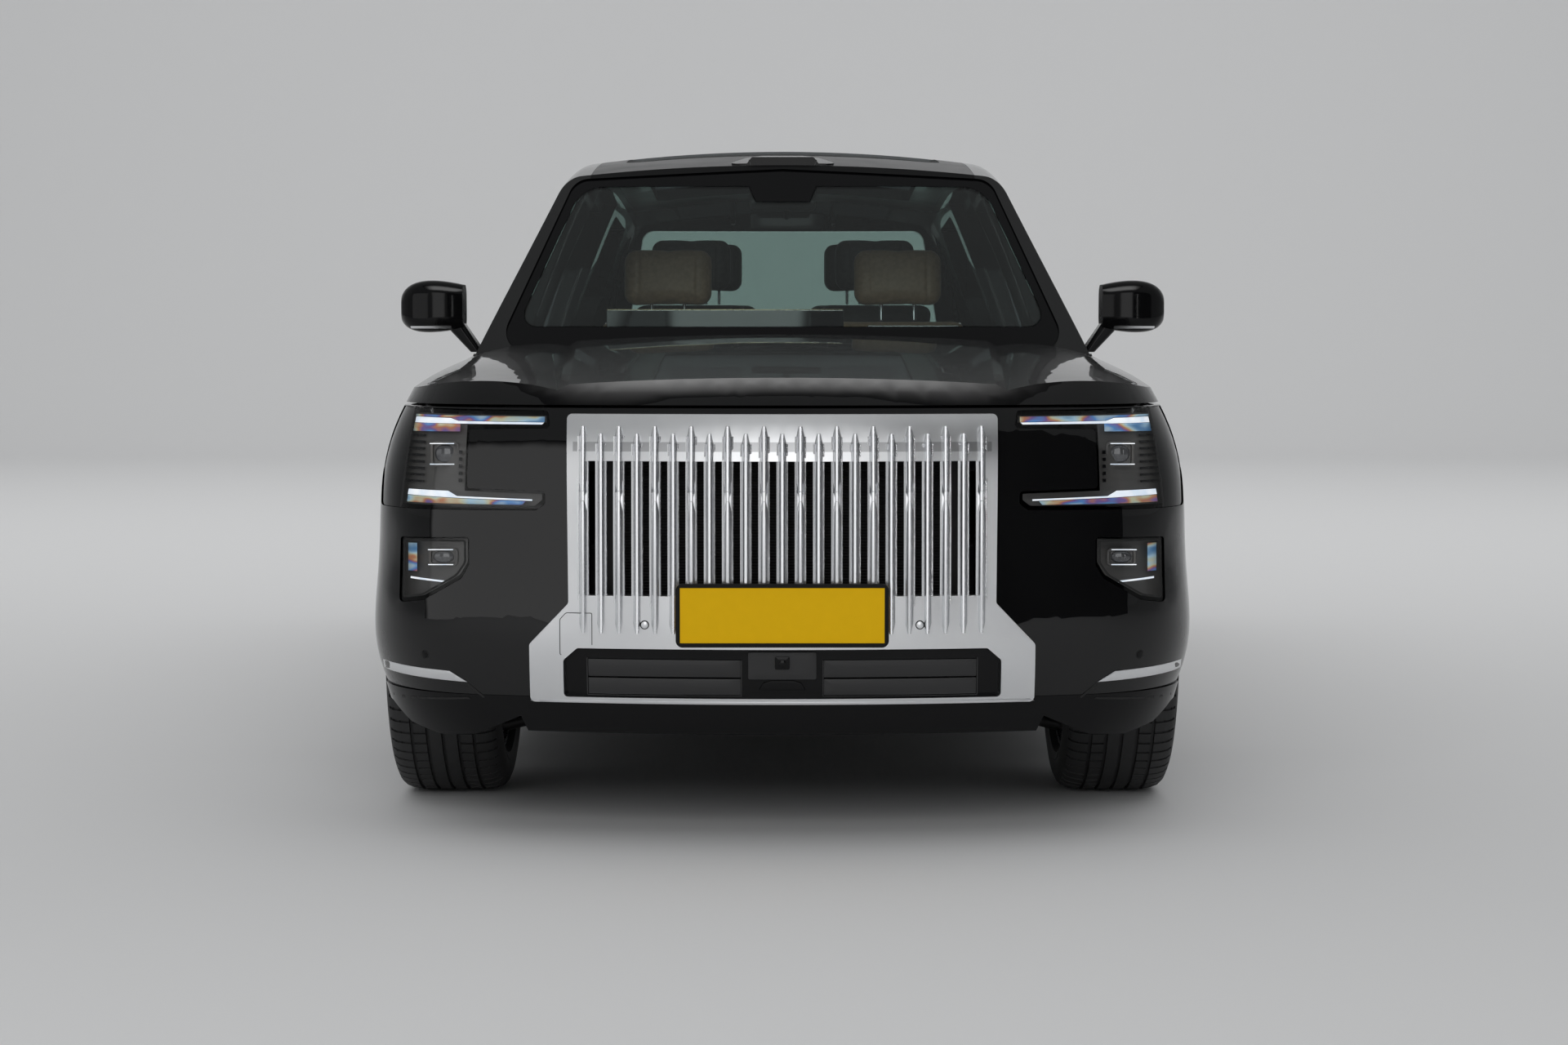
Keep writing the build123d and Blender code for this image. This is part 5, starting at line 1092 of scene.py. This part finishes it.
def tread_repeat():
    """One repeat of the tyre about the X axis: its section spun through one pitch, with its slots sunk."""
    part = bmesh.new()
    corners = [part.verts.new((x, 0, r)) for x, r in tread_section()]
    geom = corners + [part.edges.new(pair) for pair in zip(corners, corners[1:])]
    pitch = math.tau / TREADS
    for share in (SLOT_SHARE, 1 - SLOT_SHARE):
        turned = bmesh.ops.spin(part, geom=geom, cent=(0, 0, 0), axis=(1, 0, 0), angle=pitch * share, steps=1)
        geom = turned["geom_last"]
    slots = []
    for f in part.faces:
        middle = f.calc_center_median()
        in_slot = math.atan2(abs(middle.y), middle.z) < pitch * SLOT_SHARE
        wide = max(abs(v.co.x - middle.x) for v in f.verts) > 0.004
        on_tread = math.hypot(middle.y, middle.z) > TYRE_RADIUS - SLOT_FROM_DEPTH
        if in_slot and wide and on_tread and abs(middle.x) > SLOT_FROM_X:
            slots.append(f)
    part.normal_update()
    outward = slots[0].normal.dot(slots[0].calc_center_median()) > 0
    depth = -SLOT_DEPTH if outward else SLOT_DEPTH
    bmesh.ops.inset_individual(part, faces=slots, thickness=0.0008, depth=depth, use_even_offset=True)
    return part


tyre_mesh = tread_repeat()
bmesh.ops.spin(
    tyre_mesh,
    geom=all_of(tyre_mesh),
    cent=(0, 0, 0),
    axis=(1, 0, 0),
    angle=math.tau - math.tau / TREADS,
    steps=TREADS - 1,
    use_duplicate=True,
)
bmesh.ops.remove_doubles(tyre_mesh, verts=tyre_mesh.verts, dist=0.00005)
bmesh.ops.recalc_face_normals(tyre_mesh, faces=tyre_mesh.faces[:])
for end, side in CORNERS:
    low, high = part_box(f"tyre_{end}_{side}")
    tread = moved(tyre_mesh.copy(), (low + high) / 2)
    tyre = make_piece(f"tread_{end}_{side}", tread, tyre_black, f"wheel_{end}_{side}", 28.0)
    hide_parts(f"tyre_{end}_{side}")
tyre_mesh.free()

# -------- rims
# Cast alloy rims with ten pairs of thin spokes, machined and lacquered on their faces. Five plated nuts stand
# round a plain black centre cap that is pressed into the hub.
NUTS, NUT_CIRCLE = 5, 0.056
alloy = Finish("cast_alloy", (0.52, 0.53, 0.55), 0.26, Metallic=1.0)
casting = alloy.noise(180.0, 3.0)
alloy.set(
    Roughness=0.20 + 0.14 * casting,
    Base_Color=alloy.blend(alloy.noise(4.0), (0.46, 0.47, 0.49), (0.58, 0.59, 0.61)),
    Normal=alloy.bump(casting, 0.00006, 0.4),
)
for end, side in CORNERS:
    dress(alloy, f"rim_{end}_{side}")
    low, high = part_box(f"tyre_{end}_{side}")
    middle = (low + high) / 2
    out = Vector((1 if side == "left" else -1, 0, 0))
    rim_skin = skin_of(f"rim_{end}_{side}")
    nuts = []
    for k in range(NUTS):
        turn = math.tau * k / NUTS
        y, z = middle.y + NUT_CIRCLE * math.sin(turn), middle.z + NUT_CIRCLE * math.cos(turn)
        nuts.append(disc(spot_on(rim_skin, y, z, side)[0] + out * 0.004, out, 0.0095, 0.018, 0.0015, sides=6))
    make_piece(f"wheel_nuts_{end}_{side}", nuts, chrome, f"wheel_{end}_{side}")
    hub_at = spot_on(rim_skin, middle.y, middle.z, side)[0] + out * 0.004
    cap = disc(hub_at, out, 0.036, 0.014, 0.004, sides=48)
    make_piece(f"centre_cap_{end}_{side}", cap, piano, f"wheel_{end}_{side}")

# -------- chassis
# Painted steel rails, towers and arms, cast carriers with their calipers, and a carpeted floor. Bare castings
# are rough, and the pressed parts have a dull black coat with a little road dust.
coated = Finish("coated_steel", (0.05, 0.051, 0.054), 0.45, Metallic=0.5)
road = coated.noise(11.0, 5.0)
coated.set(
    Base_Color=coated.blend(road, (0.030, 0.031, 0.033), (0.085, 0.083, 0.080)),
    Roughness=0.36 + 0.3 * road,
    Normal=coated.bump(road, 0.0004, 0.3),
)
dress(coated, "front_frame", "front_suspension", "rear_suspension")
cast = Finish("cast_iron", (0.16, 0.16, 0.165), 0.55, Metallic=0.8)
sandy = cast.noise(220.0, 4.0)
cast.set(
    Base_Color=cast.blend(sandy, (0.11, 0.11, 0.115), (0.20, 0.20, 0.205)),
    Roughness=0.45 + 0.25 * sandy,
    Normal=cast.bump(sandy, 0.0006, 0.6),
)
dress(cast, "knuckle_left", "knuckle_right")
carpet = Finish("carpet", (0.020, 0.020, 0.022), 0.95, Sheen_Weight=0.3)
pile = carpet.noise(900.0, 2.0)
carpet.set(
    Base_Color=carpet.blend(pile, (0.010, 0.010, 0.011), (0.034, 0.034, 0.037)),
    Normal=carpet.bump(pile, 0.0012, 0.8),
)
dress(carpet, "floor_pan")

# -------- dashboard and cabin fittings
# A soft black dash top that carries a wide gloss display with a thin brass edge, and a small one behind the
# steering wheel. A frameless mirror and a camera cover hang behind the windscreen.
soft_touch = Finish("stitched_dash_skin", (0.016, 0.0155, 0.015), 0.55)
soft_touch.set(
    Normal=soft_touch.bump(soft_touch.cells(420.0), 0.0004, 0.5),
    Roughness=0.5 + 0.2 * soft_touch.noise(6.0),
    Base_Color=soft_touch.blend(soft_touch.noise(3.0), (0.012, 0.0118, 0.0115), (0.021, 0.020, 0.019)),
)
dress(soft_touch, "dashboard")
screen_glass = Finish("screen_glass", (0.003, 0.0035, 0.005), 0.04, Coat_Weight=1.0, Coat_Roughness=0.02)
screen_glass.set(Roughness=0.04 + 0.03 * screen_glass.noise(10.0))
brass = Finish("brass_edge", (0.50, 0.42, 0.27), 0.25, Metallic=1.0)
brass.set(Roughness=0.2 + 0.15 * brass.noise(50.0))


def slab(low, high, edge, segments=3):
    """A flat box with soft edges between two corners."""
    low, high = Vector(low), Vector(high)
    return moved(block(high - low, edge, segments), (low + high) / 2)


DISPLAY_X0, DISPLAY_X1, DISPLAY_Y, DISPLAY_Z0, DISPLAY_Z1 = -0.520, 0.180, -0.7835, 1.118, 1.268
wide = slab((DISPLAY_X0, DISPLAY_Y - 0.0105, DISPLAY_Z0), (DISPLAY_X1, DISPLAY_Y + 0.0105, DISPLAY_Z1), 0.004)
small = slab((0.250, -0.800, 1.110), (0.520, -0.775, 1.222), 0.004)
make_piece("dash_displays", [wide, small], screen_glass)
edge_foot = (DISPLAY_X0 + 0.002, DISPLAY_Y - 0.0095, DISPLAY_Z1 - 0.0015)
edge_head = (DISPLAY_X1 - 0.002, DISPLAY_Y + 0.0065, DISPLAY_Z1 + 0.0012)
make_piece("display_edge", slab(edge_foot, edge_head, 0.0006, 2), brass)

stalk = disc((0, -0.022, 0.040), (0, -0.5, 0.85), 0.011, 0.070, 0.002)
inner_mirror = moved(gather([block((0.232, 0.026, 0.062), 0.011, 4), stalk]), (0.012, -0.285, 1.548))
make_piece("inner_mirror", inner_mirror, piano)
cover_at = Matrix.Translation((0, -0.395, 1.618)) @ about_x(33)
make_piece("camera_cover", moved(block((0.205, 0.110, 0.040), 0.012), cover_at), moulded)

# -------- steering wheel
# A leather-covered rim on three padded spokes round a plain boss, square to its tilted shaft. Two plain
# buttons sit in each side spoke.
WHEEL_RADIUS, RIM_THICK = 0.178, 0.0148
shaft = next(j for j in frame["joints"] if j["name"] == "steering_wheel_turn")
upright = Vector((0, 0, 1))
square_to_shaft = upright.rotation_difference(-Vector(shaft["axis"])).to_matrix().to_4x4()
to_wheel = Matrix.Translation(Vector(shaft["pos_m"])) @ square_to_shaft
wheel_hide = Finish("wheel_hide", (0.017, 0.016, 0.015), 0.5)
wheel_hide.set(
    Normal=wheel_hide.bump(wheel_hide.cells(700.0), 0.0003, 0.5),
    Roughness=0.42 + 0.15 * wheel_hide.noise(20.0),
    Base_Color=wheel_hide.blend(wheel_hide.noise(9.0), (0.013, 0.0125, 0.012), (0.023, 0.022, 0.021)),
)
rim = bmesh.new()
bmesh.ops.create_circle(rim, segments=16, radius=RIM_THICK)
bmesh.ops.scale(rim, verts=rim.verts, vec=(0.92, 1.0, 1.0))
moved(rim, Matrix.Translation((WHEEL_RADIUS, 0, 0)) @ about_x(90))
round_rim = rim.edges[:] + rim.verts[:]
bmesh.ops.spin(rim, geom=round_rim, cent=(0, 0, 0), axis=upright, angle=math.tau, steps=72, use_merge=True)
wheel_parts = [rim]
for turn in (0, 90, 180):
    spoke = moved(block((0.118, 0.032, 0.014)), (0.112, 0, 0))
    bmesh.ops.scale(spoke, verts=[v for v in spoke.verts if v.co.x < 0.1], vec=(1, 1.35, 1.25))
    soften(spoke, spoke.edges[:], 0.005, 3)
    wheel_parts.append(moved(spoke, Matrix.Rotation(math.radians(turn), 4, "Z")))
wheel_parts.append(disc((0, 0, 0), upright, 0.069, 0.048, 0.012, sides=48))
wheel_parts.append(disc((0, 0, -0.072), upright, 0.0215, 0.098, 0.002))
wheel = moved(gather(wheel_parts), to_wheel)
bmesh.ops.recalc_face_normals(wheel, faces=wheel.faces[:])
wheel_piece = make_piece("steering_wheel_hide", wheel, wheel_hide, "steering_wheel")
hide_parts("steering_wheel")
buttons = [
    disc((end * 0.098, row * 0.0085, 0.0085), upright, 0.0065, 0.004, 0.001, sides=16)
    for end in (-1, 1)
    for row in (-1, 1)
]
make_piece("wheel_buttons", moved(gather(buttons), to_wheel), piano, "steering_wheel")

# -------- seats
# Foam pads covered in soft leather: tan in front, dark brown behind. Each seat is a squab, a backrest and a
# headrest on two posts, over a plastic plinth. The covers are sewn in panels, with sunk seams.
VOXEL = 0.011
PRESSURE = 4.0
CLOTH_FRAMES = 20
SWELL, MOST_SWELL = 0.011, 0.015


def leather(name, pale, dark):
    hide = Finish(name, pale, 0.5, Sheen_Weight=0.15)
    pores = hide.cells(620.0)
    creases = hide.noise(70.0, 6.0)
    hide.set(
        Base_Color=hide.blend(hide.step(creases, 0.3, 0.75), dark, pale),
        Roughness=0.42 + 0.2 * creases,
        Normal=hide.bump(creases, 0.0008, 0.35, under=hide.bump(pores, 0.00035, 0.5)),
    )
    return hide


def settled(pad):
    """Replaces a pad's mesh by what its modifiers make of it, and gives it back."""
    graph = bpy.context.evaluated_depsgraph_get()
    data = bpy.data.meshes.new_from_object(pad.evaluated_get(graph))
    pad.modifiers.clear()
    pad.data = data
    return data


def swollen(source):
    """Blows up a bmesh as a sewn cover round foam: remeshed, puffed as cloth under pressure, and capped."""
    pad = added("pad", data_of("pad", source))
    remesh = pad.modifiers.new("remesh", "REMESH")
    remesh.mode = "VOXEL"
    remesh.voxel_size = VOXEL
    bpy.context.view_layer.update()
    start = [v.co.copy() for v in settled(pad).vertices]
    cloth = pad.modifiers.new("cloth", "CLOTH")
    cloth.settings.use_pressure = True
    cloth.settings.uniform_pressure_force = PRESSURE
    cloth.settings.effector_weights.gravity = 0
    cloth.settings.quality = 4
    for step in range(1, CLOTH_FRAMES + 1):
        bpy.context.scene.frame_set(step)
    for was, v in zip(start, settled(pad).vertices):
        move = v.co - was
        if move.length > MOST_SWELL:
            v.co = was + move * (MOST_SWELL / move.length)
    bpy.context.scene.frame_set(1)
    result = bmesh.new()
    result.from_mesh(pad.data)
    bpy.data.objects.remove(pad)
    bmesh.ops.smooth_vert(
        result, verts=result.verts, factor=0.5, use_axis_x=True, use_axis_y=True, use_axis_z=True
    )
    return result


def foam(size, corner, crown, waist=0.0):
    """The cut foam under a cover: a rounded block, crowned on its top and drawn in at its middle."""
    pad = block([s - 2 * SWELL for s in size], corner, 4)
    bmesh.ops.triangulate(pad, faces=pad.faces[:])
    bmesh.ops.subdivide_edges(pad, edges=pad.edges[:], cuts=3, use_grid_fill=True)
    for v in pad.verts:
        u, w = 2 * v.co.x / size[0], 2 * v.co.y / size[1]
        v.co.x *= 1 - waist * (1 - w * w)
        v.co.z += crown * ((1 - u * u) * (1 - w * w) - 0.5) if v.co.z > 0 else 0
    return pad


def sewn(pad, across, along=(), depth=0.0055, width=0.0065):
    """Sinks sewn seams into a pad's top: each is a place on it, across its width or along its length."""
    seams = [(0, at) for at in across] + [(1, at) for at in along]
    bmesh.ops.subdivide_edges(pad, edges=pad.edges[:], cuts=1, smooth=0.6, use_grid_fill=True)
    bmesh.ops.recalc_face_normals(pad, faces=pad.faces[:])
    pad.normal_update()
    for v in pad.verts:
        sink = 0.0
        if v.normal.z > 0.25:
            for axis, at in seams:
                off = (v.co[axis] - at) / width
                sink = max(sink, depth * math.exp(-off * off) * min(1.0, v.normal.z * 1.6))
        v.co -= v.normal * sink
    return pad


def seat_row(row, finish, x, y, width, base_z, lean, node):
    """Both seats of a row, as one squab, backrest and headrest piece each side."""
    squab = swollen(foam((width, 0.52, 0.14), 0.045, 0.020))
    squab = sewn(squab, (-width * 0.31, width * 0.31), (0.02, -0.10))
    back = foam((width - 0.02, 0.62, 0.13), 0.045, 0.018, 0.06)
    back = sewn(swollen(back), (-width * 0.30, width * 0.30), (0.18, -0.04))
    head = sewn(swollen(foam((0.318, 0.212, 0.105), 0.040, 0.012)), (-0.098, 0.098), (), 0.004, 0.005)
    recline = Matrix.Translation((0, y + 0.235, base_z + 0.09)) @ about_x(-lean)
    placed = (  # a pad's top face turns by a quarter to face forwards
        ("squab", squab, Matrix.Translation((0, y, base_z + 0.07))),
        ("backrest", back, recline @ Matrix.Translation((0, 0, 0.30)) @ about_x(90)),
        ("headrest", head, recline @ Matrix.Translation((0, -0.004, 0.735)) @ about_x(90)),
    )
    made, plinths, posts = [], [], []
    floor_z, seat_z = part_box(node)[0].z, base_z + 0.012
    for side, way in (("left", 1), ("right", -1)):
        across = Matrix.Translation((way * x, 0, 0))
        for part, mesh, matrix in placed:
            pad = moved(mesh.copy(), across @ matrix)
            bmesh.ops.recalc_face_normals(pad, faces=pad.faces[:])
            piece = make_piece(f"{row}_{part}_{side}", pad, finish, smooth_below=180.0)
            made.append(piece)
        plinth = block((width - 0.16, 0.42, seat_z - floor_z), 0.012)
        plinths.append(moved(plinth, (way * x, y, (seat_z + floor_z) / 2)))
        for off in (-0.055, 0.055):
            post = disc((off, 0, 0), upright, 0.006, 0.085, 0.001, sides=16)
            posts.append(moved(post, across @ recline @ Matrix.Translation((0, 0.002, 0.632))))
    for mesh in (squab, back, head):
        mesh.free()
    made.append(make_piece(f"{row}_plinths", plinths, moulded))
    made.append(make_piece(f"{row}_headrest_posts", posts, chrome))
    for piece in made:
        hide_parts(node)


tan_leather = leather("tan_leather", (0.42, 0.28, 0.17), (0.33, 0.21, 0.12))
brown_leather = leather("dark_brown_leather", (0.052, 0.042, 0.036), (0.034, 0.028, 0.024))
seat_row("front_seat", tan_leather, 0.385, -0.060, 0.520, 0.575, 12, "front_seats")
seat_row("second_seat", brown_leather, 0.340, 0.900, 0.480, 0.640, 12, "second_row_seats")
seat_row("third_seat", brown_leather, 0.310, 1.720, 0.480, 0.640, 8, "third_row_seats")
